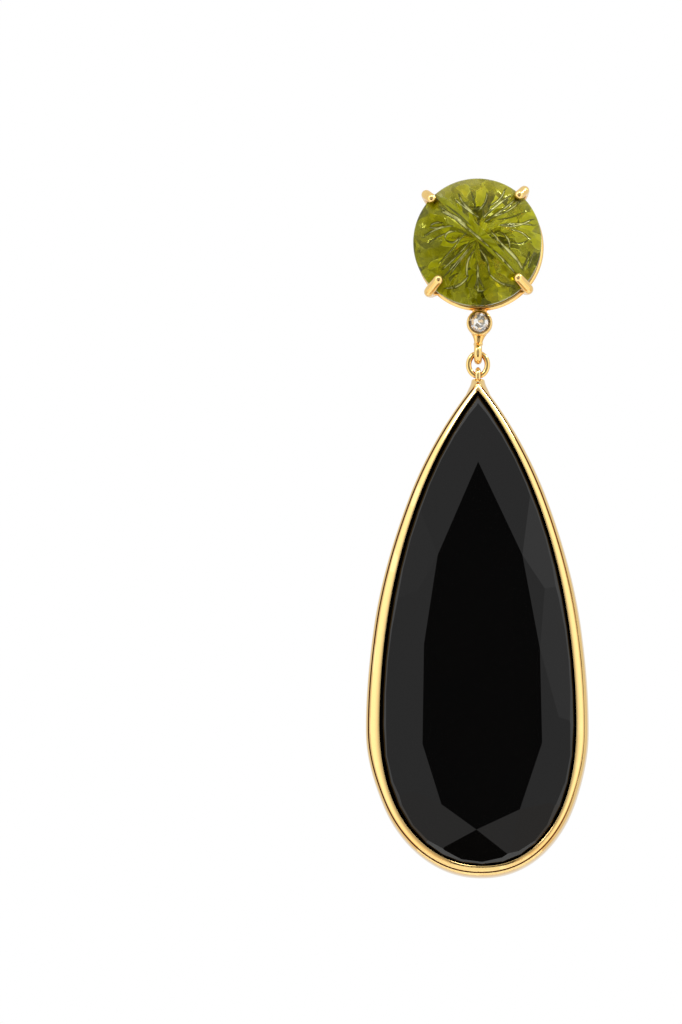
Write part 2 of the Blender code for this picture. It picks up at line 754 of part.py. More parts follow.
def make_diamond(material):
    """A round stone with a table, eight mains, eight stars, sixteen rim facets and a point."""
    girdle_y = cup_front_y + cup_lip_depth + stone_gap
    table_y = girdle_y - diamond_crown_rise
    point_y = girdle_y + diamond_girdle + diamond_depth
    centre = Vector((gallery_shift_x, 0.0, cup_z))
    bm = bmesh.new()
    bmesh.ops.create_cone(bm, cap_ends=True, segments=16, radius1=diamond_radius,
                          radius2=diamond_radius, depth=point_y - table_y)
    bmesh.ops.rotate(bm, matrix=Matrix.Rotation(math.radians(90), 3, "X"), verts=bm.verts)
    bmesh.ops.translate(bm, verts=bm.verts, vec=centre + Vector((0, (table_y + point_y) / 2, 0)))
    crown_run = diamond_radius - diamond_table_radius
    for number in range(8):
        turn = math.tau * number / 8
        way = Vector((math.cos(turn), 0.0, math.sin(turn)))
        rim = centre + way * diamond_radius
        slope = diamond_crown_rise / crown_run
        cut_away(bm, (rim.x, girdle_y, rim.z), (way * slope + Vector((0, -1, 0))).normalized())
        deep = diamond_depth / diamond_radius
        cut_away(bm, (rim.x, girdle_y + diamond_girdle, rim.z),
                 (way * deep + Vector((0, 1, 0))).normalized())
    for number in range(8):
        turn = math.tau * (number + 0.5) / 8
        way = Vector((math.cos(turn), 0.0, math.sin(turn)))
        edge = centre + way * diamond_table_radius * math.cos(math.pi / 8)
        slope = diamond_star_ease * diamond_crown_rise / crown_run
        cut_away(bm, (edge.x, table_y, edge.z), (way * slope + Vector((0, -1, 0))).normalized())
    return add_object("round_diamond", to_mesh(bm, "round_diamond"), material)


gold_colour = (0.94, 0.66, 0.24)
green = make_material("green_stone", (0.35, 0.42, 0.03), 0.0, 0.05, 0.7, 1.67)
head_gold = make_material("setting_gold", gold_colour, 1.0, 0.12)
post_gold = make_material("post_gold", gold_colour, 1.0, 0.2)
clear = make_material("clear_stone", (0.95, 0.97, 1.0), 0.0, 0.0, 0.9, 2.42)
ring_gold = make_material("ring_gold", gold_colour, 1.0, 0.12)
drop_gold = make_material("bezel_gold", gold_colour, 1.0, 0.1)
black = make_material("black_stone", (0.004, 0.004, 0.005), 0.0, 0.04, 0.0, 1.54)

make_carved_stone(green)
make_claw_setting(head_gold)
make_ear_post(post_gold)
make_diamond(clear)
make_jump_ring(ring_gold)
make_drop_bezel(drop_gold)
make_onyx(black)
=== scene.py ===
"""The looks of the drop earring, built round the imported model.

A carved green stone in a claw setting, a small diamond in its cup, a jump ring, and a
large faceted black pear in a gold bezel. Metres, +Z up, and the front faces -Y.
"""
import math

import bmesh
import bpy
from mathutils import Matrix, Vector
from mathutils import noise as hills


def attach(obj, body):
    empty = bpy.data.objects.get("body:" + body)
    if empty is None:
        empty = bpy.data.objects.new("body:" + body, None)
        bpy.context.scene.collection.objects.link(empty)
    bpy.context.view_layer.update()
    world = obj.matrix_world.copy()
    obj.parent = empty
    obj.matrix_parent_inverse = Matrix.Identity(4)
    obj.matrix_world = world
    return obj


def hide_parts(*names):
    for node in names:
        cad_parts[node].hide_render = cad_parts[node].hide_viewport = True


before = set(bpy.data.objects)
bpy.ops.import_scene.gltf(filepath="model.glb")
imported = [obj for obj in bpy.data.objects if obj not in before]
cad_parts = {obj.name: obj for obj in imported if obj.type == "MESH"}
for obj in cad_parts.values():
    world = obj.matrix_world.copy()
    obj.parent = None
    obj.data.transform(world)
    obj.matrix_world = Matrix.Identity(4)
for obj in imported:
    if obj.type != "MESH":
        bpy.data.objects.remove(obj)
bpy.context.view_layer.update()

mm = 0.001

# Camera: photograph's frame, scale and viewing angle
view_azimuth = math.radians(1.5)
view_elevation = math.radians(-6.4)
view_distance = 900 * mm
view_height = 95.26 * mm
view_right = -12.69 * mm
view_up = -25.1 * mm

# Carved green stone
stone_radius = 5.98 * mm
stone_girdle_y = -5.85 * mm
stone_girdle_thickness = 0.5 * mm
stone_edge_round = 0.5 * mm
stone_bevel_width = 0.75 * mm
stone_bevel_rise = 0.7 * mm
stone_dome_rise = 1.6 * mm
stone_back_depth = 3.7 * mm
stone_back_taper = 4.2 * mm
stone_front_y = stone_girdle_y - stone_girdle_thickness / 2
stone_back_y = stone_girdle_y + stone_girdle_thickness / 2
stone_bevel_inner = stone_radius - stone_bevel_width
carving_margin = 0.12 * mm
stone_rings = 108
stone_turns = 432

# Carving. Each stroke is cut along a bowed line from one point to another, in millimetres
# from the stone's centre: x and z of both ends, bow to its left, half width, depth
bar_half_width = 0.62 * mm
bar_shift = 0.42 * mm
bar_height = 0.2 * mm
bar_taper_per_mm = 0.09
rib_half_width = 0.3 * mm
rib_shift = 0.2 * mm
rib_height = 0.16 * mm
rib_taper_per_mm = 0.06
strokes = [
    ("bar_edge", -3.6, 3.3, 1.3, -0.95, 0.0, 0.15, 0.34),
    ("bar_streak", -3.4, 2.75, -0.9, 1.2, 0.1, 0.22, 0.30),
    ("bar_hairline", -3.0, 3.35, -0.5, 1.1, 0.05, 0.09, 0.14),
    ("bar_far_edge", -2.2, 4.0, 0.35, 1.9, -0.1, 0.14, 0.22),
    ("bar_foot_edge", 1.2, 0.9, 4.1, -2.3, -0.1, 0.13, 0.26),
    ("bar_foot_line", 1.4, -1.0, 3.6, -3.2, 0.05, 0.12, 0.24),
    ("rib_edge", 0.45, 1.85, 3.2, 4.3, 0.1, 0.14, 0.30),
    ("rib_other_edge", 0.6, 1.5, 3.7, 4.0, -0.1, 0.13, 0.28),
    ("leaf_upper_edge", 1.3, 2.1, 4.2, 4.0, -0.35, 0.12, 0.22),
    ("leaf_lower_edge", 2.0, 1.3, 5.3, 2.2, -0.4, 0.12, 0.24),
    ("leaf_second_edge", 1.9, 1.25, 5.4, 1.45, 0.15, 0.10, 0.20),
    ("leaf_vein", 1.7, 1.8, 4.6, 2.9, -0.25, 0.09, 0.12),
    ("leaf_end", 4.7, 3.7, 5.2, 1.9, 0.25, 0.10, 0.16),
    ("crown_left_edge", -1.75, 4.5, -0.3, 2.5, -0.25, 0.13, 0.26),
    ("crown_line", 0.9, 4.6, 0.0, 2.6, 0.3, 0.12, 0.20),
    ("crown_vein", -0.6, 4.7, -0.15, 2.9, 0.05, 0.09, 0.14),
    ("crown_arch", -0.9, 3.2, 0.9, 3.5, -0.45, 0.10, 0.16),
    ("crown_right_edge", 2.6, 5.0, 1.0, 3.1, 0.35, 0.13, 0.22),
    ("left_eye_top", -4.4, 1.35, -3.1, 1.5, 0.22, 0.12, 0.24),
    ("left_eye_foot", -4.5, 1.3, -3.0, 1.35, -0.2, 0.11, 0.22),
    ("left_leaf_edge", -5.2, 0.2, -2.1, 1.25, 0.3, 0.12, 0.22),
    ("left_leaf_vein", -4.6, -0.3, -1.8, 0.75, 0.2, 0.09, 0.16),
    ("left_curl_top", -3.0, 0.05, -2.2, 0.75, 0.25, 0.12, 0.26),
    ("left_curl_foot", -3.0, 0.0, -1.6, 0.35, -0.5, 0.12, 0.28),
    ("left_long_edge", -5.3, -0.6, -3.9, -3.9, -0.55, 0.12, 0.20),
    ("ray_1", -0.6, -0.2, -3.4, -2.9, 0.1, 0.11, 0.22),
    ("ray_2", -0.45, -0.45, -3.3, -3.6, 0.08, 0.10, 0.22),
    ("ray_3", -0.3, -0.6, -2.6, -3.4, -0.1, 0.10, 0.20),
    ("ray_4", -1.3, 0.3, -3.7, -2.3, 0.1, 0.09, 0.16),
    ("ray_5", -0.9, 0.7, -2.4, -0.4, 0.15, 0.09, 0.16),
    ("foot_left_petal", -0.2, -1.0, -0.9, -3.6, -0.35, 0.13, 0.26),
    ("foot_left_turn", -0.75, -3.3, -3.2, -4.4, 0.45, 0.13, 0.26),
    ("foot_right_petal", 0.1, -0.9, 1.1, -3.3, 0.3, 0.12, 0.24),
    ("foot_right_turn", 1.0, -3.1, 4.0, -4.2, -0.45, 0.12, 0.24),
    ("foot_inner_left", 0.0, -2.2, -0.3, -4.6, 0.22, 0.11, 0.22),
    ("foot_inner_right", 0.05, -2.2, 0.7, -4.6, -0.25, 0.11, 0.22),
    ("foot_loop", -0.4, -4.3, 1.0, -4.4, -0.4, 0.10, 0.18),
    ("foot_middle", 0.0, -3.0, 0.1, -5.0, 0.0, 0.10, 0.22),
    ("right_dark_line", 2.1, -0.4, 4.3, -2.9, 0.25, 0.16, 0.30),
    ("right_hook", 2.0, 0.7, 3.0, -1.0, 0.4, 0.11, 0.22),
    ("right_ray_1", 4.2, -2.7, 4.9, -0.9, -0.1, 0.11, 0.22),
    ("right_ray_2", 4.7, -2.6, 5.4, -0.9, 0.0, 0.12, 0.24),
    ("right_wave", 3.1, 0.9, 5.1, -0.3, 0.35, 0.11, 0.20),
    ("right_small_wave", 3.2, -0.2, 4.8, 0.1, -0.3, 0.09, 0.14),
]
chip_height = 0.035 * mm
chips_per_mm = 1.1
stroke_share = 0.45
cut_shown_per_mm = 4.5
carving_fade_start = 5.1 * mm
carving_fade_end = 5.75 * mm

# Painted shade: dark reddish gold where the gold is occluded, in hollows, corners and between parts
painted_crevice_shade_gold = (0.55, 0.2, 0.012)

# Green stone's finish: colours, among them painted highlights and painted shade, then the pattern's
# sizes
dark_olive = (0.024, 0.026, 0.001)
yellow_green = (0.56, 0.57, 0.005)
cloudy_green = (0.18, 0.19, 0.002)
painted_top_highlight = (0.62, 0.56, 0.04)
painted_facet_edge_highlight = (0.72, 0.76, 0.10)
bar_green = (0.27, 0.28, 0.003)
painted_cut_wall_shade = (0.035, 0.04, 0.001)
painted_cut_floor_highlight = (0.93, 0.94, 0.42)
painted_corner_shade = (0.03, 0.02, 0.001)
ray_spread = 4.2
ray_bands_per_metre = 640.0
ray_bend = 1.5
# Where the painted highlight on the stone's top begins, and where it is full
crown_start_z = 3.2 * mm
crown_full_z = 5.0 * mm
stone_facet_lean = 0.5
stone_density = 300.0

# Diamond's finish: white as a painted reflection of its inner light, broken by dashes of painted
# dark reflection
painted_brilliance_white = (1.0, 1.0, 1.0)
painted_brilliance_warm = (0.97, 0.96, 0.93)
painted_dark_reflection_grey = (0.10, 0.11, 0.15)
diamond_cells_per_metre = 2300.0
diamond_facet_lean = 1.5

# Claw setting
stone_gap = 0.07 * mm
claw_wire_radius = 0.45 * mm
claw_bow = 0.3 * mm
claw_bend_start = 1.3 * mm
claw_bend_end = 2.2 * mm
claw_bent_slope = 0.5
claw_path_round = 0.7 * mm
# Each claw: place, direction in degrees from the right, reach over the stone
claws = [("upper_right", 47.5, 1.2 * mm), ("upper_left", 137.0, 1.15 * mm),
         ("lower_left", 226.0, 2.0 * mm), ("lower_right", 316.8, 1.95 * mm)]
gallery_y = -2.3 * mm
gallery_shift_x = 0.15 * mm
gallery_wire_radius = 0.38 * mm
gallery_radius = stone_radius + 0.02 * mm - gallery_wire_radius
base_ring_radius = gallery_radius - 1.5 * mm
base_ring_wire_radius = 0.42 * mm
base_ring_y = -0.47 * mm
back_bar_width = 2.4 * mm
back_bar_thickness = 0.9 * mm
back_bar_edge_round = 0.12 * mm

# Ear post
post_radius = 0.42 * mm
post_length = 10.5 * mm
post_gap = 0.08 * mm
socket_depth = 1.2 * mm
socket_floor = 0.4 * mm
socket_wall = 0.5 * mm
socket_start = 0.45 * mm
notch_to_end = 1.6 * mm
notch_depth = 0.12 * mm
notch_half_length = 0.35 * mm
notch_floor_half_length = 0.15 * mm
boss_edge_round = 0.1 * mm
post_edge_round = 0.12 * mm
cut_over = 0.2 * mm

# Diamond's cup, hanging loop, jump ring and eyelet
hang_y = -2.5 * mm
cup_front_y = -3.45 * mm
cup_outer_radius = 1.21 * mm
cup_depth = 1.8 * mm
cup_back_radius = 0.85 * mm
cup_lip_inset = 0.1 * mm
cup_lip_drop = 0.25 * mm
cup_wall_depth = 1.0 * mm
cup_edge_round = 0.16 * mm
diamond_radius = 0.94 * mm
cup_z = -(gallery_radius + gallery_wire_radius + cup_outer_radius)
loop_wire_radius = 0.37 * mm
loop_radius = 0.31 * mm + loop_wire_radius
loop_z = cup_z - 2.1 * mm - loop_radius
jump_wire_radius = 0.26 * mm
jump_half_width = 0.87 * mm
jump_half_height = 1.05 * mm
jump_rest_gap = 0.29 * mm
jump_z = loop_z - loop_radius + loop_wire_radius + jump_rest_gap - jump_half_height
eyelet_wire_radius = 0.25 * mm
eyelet_z = jump_z - jump_half_height
eyelet_radius = 0.32 * mm + eyelet_wire_radius
eyelet_sunk = 0.34 * mm
neck_top_z = eyelet_z - eyelet_sunk

# Pear outline and its bezel
pear_tip_z = neck_top_z - 1.2 * mm
pear_length = 44.5 * mm
pear_half_width = 9.15 * mm
pear_upper = pear_length * 0.702
pear_lower = pear_length - pear_upper
pear_widest_z = pear_tip_z - pear_upper
pear_side_arc = 0.8
pear_bottom_power = 2.16
pear_lean = 0.32 * mm
side_steps = 90
bottom_steps = 64
bezel_front_y = hang_y - 1.4 * mm
bezel_depth = 3.6 * mm
lip_width = 0.78 * mm
lip_uneven_share = 0.17
lip_left_extra = 0.11 * mm
lip_edge_depth = 0.28 * mm
lip_slope = math.radians(27)
lip_foot_reach = 0.15 * mm
lip_right_reach = 0.09 * mm
lip_underside_slope = 1.26
groove_full_depth = 0.32 * mm
groove_floor_width = 0.07 * mm
groove_width = 0.1 * mm
groove_right_share = 0.96
flare_width = 0.42 * mm
bezel_edge_round = 0.05 * mm
ledge_inner = -0.75 * mm
ledge_depth = 2.8 * mm
seat_offset = 0.27 * mm
seat_depth = 0.62 * mm
# Each station: place, share of the pear's length, then shares of the lip's and band's widths
bezel_sections = [
    ("tip", 0.0, 0.54, 0.80),
    ("shoulder", 0.23, 0.69, 0.90),
    ("side", 0.5, 0.90, 1.0),
    ("widest", 0.72, 1.0, 1.0),
    ("turn", 0.86, 0.66, 1.0),
    ("foot", 1.0, 0.50, 0.95),
]

# Light tent. Each patch has a direction, the degrees within which it is full and beyond which
# it is gone, and the brightness that it adds
tent_level = 0.85
tent_darkest = 0.03
tent_cards = [
    ("bright_sides", (0.0, -1.0, -0.02), 72, 92, 0.68),
    ("camera_opening", (0.0, -1.0, -0.02), 40, 54, -1.05),
    ("dark_card", (-0.03, -0.99, 0.11), 5, 10, -0.46),
    ("low_dark_card", (0.0, -0.78, -0.62), 9, 20, -1.3),
]
tent_lamps = [
    ("right_lamp", (0.76, -0.08, 0.64), 3, 6, 42.0),
    ("left_lamp", (-0.55, -0.6, 0.55), 4, 8, 10.0),
    ("top_lamp", (0.15, -0.6, 0.8), 4, 8, 12.0),
]
warm_below = (1.0, 0.82, 0.66)
floor_half_width = 380 * mm
floor_z = -420 * mm


# Materials

def new_material(name):
    """A material, its node tree and its shader."""
    material = bpy.data.materials.new(name)
    material.use_nodes = True
    shader = material.node_tree.nodes["Principled BSDF"]
    return material, material.node_tree, shader


def node(tree, kind, **values):
    """A new node, with its sockets or settings given by name."""
    made = tree.nodes.new(kind)
    for key, value in values.items():
        if key in made.inputs:
            made.inputs[key].default_value = value
        else:
            setattr(made, key, value)
    return made


def noise(tree, place, scale, detail=3.0, roughness=0.5, stretch=None):
    """Cloudy noise from 0 to 1, stretched where a stretch is given."""
    texture = node(tree, "ShaderNodeTexNoise", Scale=scale, Detail=detail, Roughness=roughness)
    if stretch is not None:
        mapping = node(tree, "ShaderNodeMapping", Scale=stretch)
        tree.links.new(place, mapping.inputs["Vector"])
        place = mapping.outputs["Vector"]
    tree.links.new(place, texture.inputs["Vector"])
    return texture.outputs["Fac"]


def feed(tree, sockets, values):
    """Gives each socket its value: a link from another socket, or a plain value."""
    for socket, value in zip(sockets, values):
        if isinstance(value, bpy.types.NodeSocket):
            tree.links.new(value, socket)
        elif value is not None:
            socket.default_value = value


def spread(tree, value, low, high, start=0.3, stop=0.7, easing="LINEAR"):
    """Maps the values from start to stop onto low to high, and holds those past either."""
    ranged = node(tree, "ShaderNodeMapRange", interpolation_type=easing)
    feed(tree, ranged.inputs, (value, start, stop, low, high))
    return ranged.outputs["Result"]


def combine(tree, operation, first, second):
    """One math node on two numbers."""
    made = node(tree, "ShaderNodeMath", operation=operation)
    feed(tree, made.inputs, (first, second))
    return made.outputs["Value"]


def combine_vectors(tree, operation, first, second=None):
    """One math node on vectors. A length or a dot product gives a number."""
    made = node(tree, "ShaderNodeVectorMath", operation=operation)
    feed(tree, made.inputs, (first, second))
    return made.outputs["Value" if operation in ("LENGTH", "DOT_PRODUCT") else "Vector"]


def blend(tree, factor, first, second):
    """Mixes two colours, each of them a socket or a plain colour."""
    mix = node(tree, "ShaderNodeMix", data_type="RGBA")
    colours = [colour if isinstance(colour, bpy.types.NodeSocket) else (*colour, 1.0)
               for colour in (first, second)]
    feed(tree, (mix.inputs[0], mix.inputs[6], mix.inputs[7]), (factor, *colours))
    return mix.outputs[2]


def leaning_normal(tree, cells, lean):
    """The surface's normal, turned its own way in each cell of a pattern."""
    way = combine_vectors(tree, "SUBTRACT", cells.outputs["Color"], (0.5, 0.5, 0.5))
    way = combine_vectors(tree, "MULTIPLY", way, (lean, 0.0, lean))
    normal = node(tree, "ShaderNodeNewGeometry").outputs["Normal"]
    return combine_vectors(tree, "NORMALIZE", combine_vectors(tree, "ADD", normal, way))


def bump(tree, height, distance, strength, before=None):
    """A normal that follows a height, over another normal where one is given."""
    made = node(tree, "ShaderNodeBump", Strength=strength, Distance=distance)
    tree.links.new(height, made.inputs["Height"])
    if before is not None:
        tree.links.new(before, made.inputs["Normal"])
    return made.outputs["Normal"]


def polished_gold(name, deep, bright, roughness, seed, shade_reach=0.9 * mm):
    """Hand-polished yellow gold: soft waves and fine rubbing scratches, with painted shade in its
    grooves, hollows and corners.
    """
    material, tree, shader = new_material(name)
    place = node(tree, "ShaderNodeTexCoord").outputs["Object"]
    shift = node(tree, "ShaderNodeMapping", Location=(seed, seed * 0.37, -seed * 0.61))
    tree.links.new(place, shift.inputs["Vector"])
    place = shift.outputs["Vector"]
    # Painted shade: concave places, found by pointiness, take the deep colour; flat parts are
    # mostly, and edges fully, the bright one
    edges = node(tree, "ShaderNodeNewGeometry").outputs["Pointiness"]
    tone = spread(tree, edges, 0.0, 1.0, 0.42, 0.54)
    # Painted shade: occlusion turns the gold a dark reddish brown in corners, between parts and
    # next to the stone
    crevice = node(tree, "ShaderNodeAmbientOcclusion", samples=8, Distance=shade_reach)
    crevice_shade_mask = spread(tree, crevice.outputs["AO"], 0.0, 1.0, 0.25, 0.75)
    tree.links.new(blend(tree, crevice_shade_mask, painted_crevice_shade_gold, blend(tree, tone, deep, bright)),
                   shader.inputs["Base Color"])
    clouds = noise(tree, place, 900.0, 4.0, 0.6)
    tree.links.new(spread(tree, clouds, roughness * 0.6, roughness * 1.6),
                   shader.inputs["Roughness"])
    waves = bump(tree, noise(tree, place, 420.0, 2.0), 0.02 * mm, 0.25)
    scratches = noise(tree, place, 5200.0, 3.0, 0.7, (1.0, 1.0, 0.06))
    tree.links.new(bump(tree, scratches, 0.004 * mm, 0.12, waves), shader.inputs["Normal"])
    shader.inputs["Metallic"].default_value = 1.0
    return material


def painted(tree, name):
    """A value that the stone's mesh carries at each of its points."""
    return node(tree, "ShaderNodeAttribute", attribute_name=name).outputs["Fac"]


def green_crystal():
    """Olive-green crystal: ray-like facets of many tones and a plain bar, with painted highlights
    on the cut lines, facet edges and top, and painted shade on the cut walls and in corners.
    """
    material, tree, shader = new_material("olive_green_crystal")
    place = node(tree, "ShaderNodeTexCoord").outputs["Object"]

    # Rays: cells set out by direction from the middle and by distance, a little crooked
    flat = combine_vectors(tree, "MULTIPLY", place, (1.0, 0.0, 1.0))
    reach = combine_vectors(tree, "LENGTH", flat)
    way = combine_vectors(tree, "NORMALIZE", flat)
    bands = node(tree, "ShaderNodeCombineXYZ")
    tree.links.new(combine(tree, "MULTIPLY", reach, ray_bands_per_metre), bands.inputs["Y"])
    rays = combine_vectors(tree, "MULTIPLY", way, (ray_spread, 0.0, ray_spread))
    rays = combine_vectors(tree, "ADD", rays, bands.outputs[0])
    crooked = node(tree, "ShaderNodeTexNoise", Scale=380.0, Detail=3.0)
    tree.links.new(flat, crooked.inputs["Vector"])
    shift = combine_vectors(tree, "MULTIPLY", crooked.outputs["Color"], (ray_bend,) * 3)
    rays = combine_vectors(tree, "ADD", rays, shift)
    cells = node(tree, "ShaderNodeTexVoronoi", Scale=1.0, Detail=1.0, Roughness=0.45)
    borders = node(tree, "ShaderNodeTexVoronoi", Scale=1.0, feature="DISTANCE_TO_EDGE")
    for texture in (cells, borders):
        tree.links.new(rays, texture.inputs["Vector"])
    pick = node(tree, "ShaderNodeSeparateColor")
    tree.links.new(cells.outputs["Color"], pick.inputs[0])

    # Tones, from dark olive in some facets to yellow-green in others
    colour = blend(tree, spread(tree, pick.outputs[0], 0.0, 1.0, 0.25, 0.8),
                   dark_olive, yellow_green)
    clouds = noise(tree, place, 520.0, 4.0, 0.6)
    colour = blend(tree, spread(tree, clouds, 0.0, 0.32), colour, cloudy_green)
    high = node(tree, "ShaderNodeSeparateXYZ")
    tree.links.new(place, high.inputs[0])
    # Painted highlight: the stone's top is blended towards pale yellow
    crown = spread(tree, high.outputs["Z"], 0.0, 0.68, crown_start_z, crown_full_z)
    colour = blend(tree, crown, colour, painted_top_highlight)
    # Painted highlight: thin pale lines along the facets' edges, broken here and there
    thin = spread(tree, borders.outputs["Distance"], 0.75, 0.0, 0.0, 0.05)
    broken = spread(tree, noise(tree, place, 900.0, 3.0), 0.0, 1.0, 0.45, 0.6)
    colour = blend(tree, combine(tree, "MULTIPLY", thin, broken), colour, painted_facet_edge_highlight)

    # The bar is plain. The cuts' walls take painted shade and their floors a painted highlight
    bar = painted(tree, "bar")
    cut = painted(tree, "cut")
    colour = blend(tree, bar, colour, bar_green)
    colour = blend(tree, spread(tree, cut, 0.0, 0.9, 0.0, 0.2), colour, painted_cut_wall_shade)
    cut_highlight_mask = combine(tree, "MULTIPLY", spread(tree, cut, 0.0, 1.0, 0.45, 0.75),
                   spread(tree, noise(tree, place, 1100.0, 3.0), 0.15, 1.0, 0.38, 0.56))
    colour = blend(tree, cut_highlight_mask, colour, painted_cut_floor_highlight)
    # Painted shade: occlusion darkens the stone to brown in corners, by the claws and along the rim
    corner = node(tree, "ShaderNodeAmbientOcclusion", samples=8, Distance=1.1 * mm)
    shade = spread(tree, corner.outputs["AO"], 0.85, 0.0, 0.25, 0.7)
    tree.links.new(blend(tree, shade, colour, painted_corner_shade), shader.inputs["Base Color"])

    rubbed = noise(tree, place, 2600.0, 4.0)
    tree.links.new(spread(tree, rubbed, 0.02, 0.09), shader.inputs["Roughness"])
    clear = spread(tree, pick.outputs[1], 0.4, 0.75, 0.1, 0.9)
    solid = combine(tree, "MULTIPLY", combine(tree, "MAXIMUM", bar, cut), 0.3)
    tree.links.new(combine(tree, "SUBTRACT", clear, solid), shader.inputs["Transmission Weight"])
    shader.inputs["IOR"].default_value = 1.6
    shader.inputs["Specular Tint"].default_value = (0.8, 0.82, 0.14, 1.0)

    ripple = noise(tree, place, 1500.0, 3.0)
    normal = leaning_normal(tree, cells, stone_facet_lean)
    tree.links.new(bump(tree, ripple, 0.012 * mm, 0.3, normal), shader.inputs["Normal"])
    inside = node(tree, "ShaderNodeVolumeAbsorption", Color=(0.84, 0.80, 0.02, 1.0),
                  Density=stone_density)
    tree.links.new(inside.outputs["Volume"], tree.nodes["Material Output"].inputs["Volume"])
    return material


def clear_diamond():
    """White as a painted reflection of its inner light, broken by small dashes of painted dark
    reflection, with facets that glint their own way.
    """
    material, tree, shader = new_material("clear_diamond")
    place = node(tree, "ShaderNodeTexCoord").outputs["Object"]
    haze = noise(tree, place, 3000.0, 3.0)
    dashes = node(tree, "ShaderNodeTexVoronoi", Scale=diamond_cells_per_metre,
                  feature="DISTANCE_TO_EDGE")
    glints = node(tree, "ShaderNodeTexVoronoi", Scale=diamond_cells_per_metre)
    for texture in (dashes, glints):
        tree.links.new(place, texture.inputs["Vector"])
    # Painted reflection: grey dashes at the cells' edges stand for dark things that the facets
    # reflect
    dark = spread(tree, dashes.outputs["Distance"], 0.8, 0.0, 0.02, 0.09)
    broken = spread(tree, noise(tree, place, 2100.0), 0.0, 1.0, 0.45, 0.55)
    dark = combine(tree, "MULTIPLY", dark, broken)
    # Painted reflection: the white colour stands for the light that the stone sends back from
    # inside
    colour = blend(tree, haze, painted_brilliance_warm, painted_brilliance_white)
    tree.links.new(blend(tree, dark, colour, painted_dark_reflection_grey), shader.inputs["Base Color"])
    tree.links.new(spread(tree, haze, 0.0, 0.02), shader.inputs["Roughness"])
    tree.links.new(leaning_normal(tree, glints, diamond_facet_lean), shader.inputs["Normal"])
    shader.inputs["Transmission Weight"].default_value = 0.12
    shader.inputs["Metallic"].default_value = 0.35
    shader.inputs["IOR"].default_value = 2.42
    return material


def black_onyx():
    """Deep black, glass-smooth, with faint polishing marks and a trace of cloudy banding."""
    material, tree, shader = new_material("black_onyx")
    place = node(tree, "ShaderNodeTexCoord").outputs["Object"]
    bands = noise(tree, place, 130.0, 4.0, 0.55, (1.0, 1.0, 0.35))
    tree.links.new(blend(tree, bands, (0.0006, 0.0006, 0.0007), (0.0018, 0.0016, 0.0014)),
                   shader.inputs["Base Color"])
    rubbed = noise(tree, place, 1400.0, 4.0, 0.6)
    tree.links.new(spread(tree, rubbed, 0.02, 0.06), shader.inputs["Roughness"])
    shader.inputs["IOR"].default_value = 1.54
    tree.links.new(bump(tree, noise(tree, place, 260.0, 2.0), 0.006 * mm, 0.1),
                   shader.inputs["Normal"])
    return material


# Each gold's deep colour is its painted shade for grooves and hollows
head_gold = polished_gold("polished_head_gold", deep=(0.80, 0.42, 0.10), bright=(0.95, 0.67, 0.26),
                          roughness=0.17, seed=0.1, shade_reach=2.4 * mm)
post_gold = polished_gold("satin_post_gold", deep=(0.80, 0.44, 0.11), bright=(0.92, 0.65, 0.26),
                          roughness=0.16, seed=0.2)
ring_gold = polished_gold("polished_ring_gold", deep=(0.82, 0.45, 0.11), bright=(0.95, 0.68, 0.26),
                          roughness=0.09, seed=0.3)
bezel_gold = polished_gold("polished_bezel_gold", deep=(0.62, 0.30, 0.05),
                           bright=(0.96, 0.71, 0.31), roughness=0.07, seed=0.4)


# Shapes

def finish_piece(name, bm, material, body, replaced, smooth_angle=40.0):
    """Recalculates the normals, makes the mesh, sets what it rides on, and hides the imported part
    that it replaces.
    """
    bmesh.ops.recalc_face_normals(bm, faces=bm.faces)
    mesh = bpy.data.meshes.new(name)
    bm.to_mesh(mesh)
    bm.free()
    mesh.shade_smooth()
    mesh.set_sharp_from_angle(angle=math.radians(smooth_angle))
    mesh.materials.append(material)
    piece = bpy.data.objects.new(name, mesh)
    bpy.context.scene.collection.objects.link(piece)
    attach(piece, body)
    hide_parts(replaced)


def smooth_share(value, low, high):
    """0 up to low, 1 from high on, and an eased step between them."""
    share = min(max((value - low) / (high - low), 0.0), 1.0)
    return share * share * (3.0 - 2.0 * share)


def rounded(points, radius, steps=4, closed=False):
    """A polyline whose corners are turned into small arcs."""
    points = [Vector(point) for point in points]
    result = []
    for index, point in enumerate(points):
        if index in (0, len(points) - 1) and not closed:
            result.append(point)
            continue
        before = points[index - 1] - point
        after = points[(index + 1) % len(points)] - point
        cut = min(radius, before.length * 0.45, after.length * 0.45)
        start = point + before.normalized() * cut
        stop = point + after.normalized() * cut
        for step in range(steps + 1):
            share = step / steps
            result.append(start * (1 - share) ** 2 + point * 2 * share * (1 - share)
                          + stop * share ** 2)
    return result


def spun(profile, turns, place):
    """A (radius, forward) profile spun about the line through place that points forward."""
    bm = bmesh.new()
    corners = [bm.verts.new((place[0] + radius, -forward, place[2]))
               for radius, forward in profile]
    edges = [bm.edges.new(pair) for pair in zip(corners, corners[1:])]
    bmesh.ops.spin(bm, geom=corners + edges, cent=place, axis=(0, 1, 0),
                   angle=math.tau, steps=turns, use_merge=True)
    bmesh.ops.remove_doubles(bm, verts=bm.verts, dist=0.0005 * mm)
    bmesh.ops.recalc_face_normals(bm, faces=bm.faces)
    return bm


def round_section(bm, sides, radius, place):
    """The points and edges of a circle set by a matrix."""
    made = bmesh.ops.create_circle(bm, cap_ends=False, segments=sides, radius=radius, matrix=place)
    edges = list({edge for vertex in made["verts"] for edge in vertex.link_edges})
    return made["verts"], edges


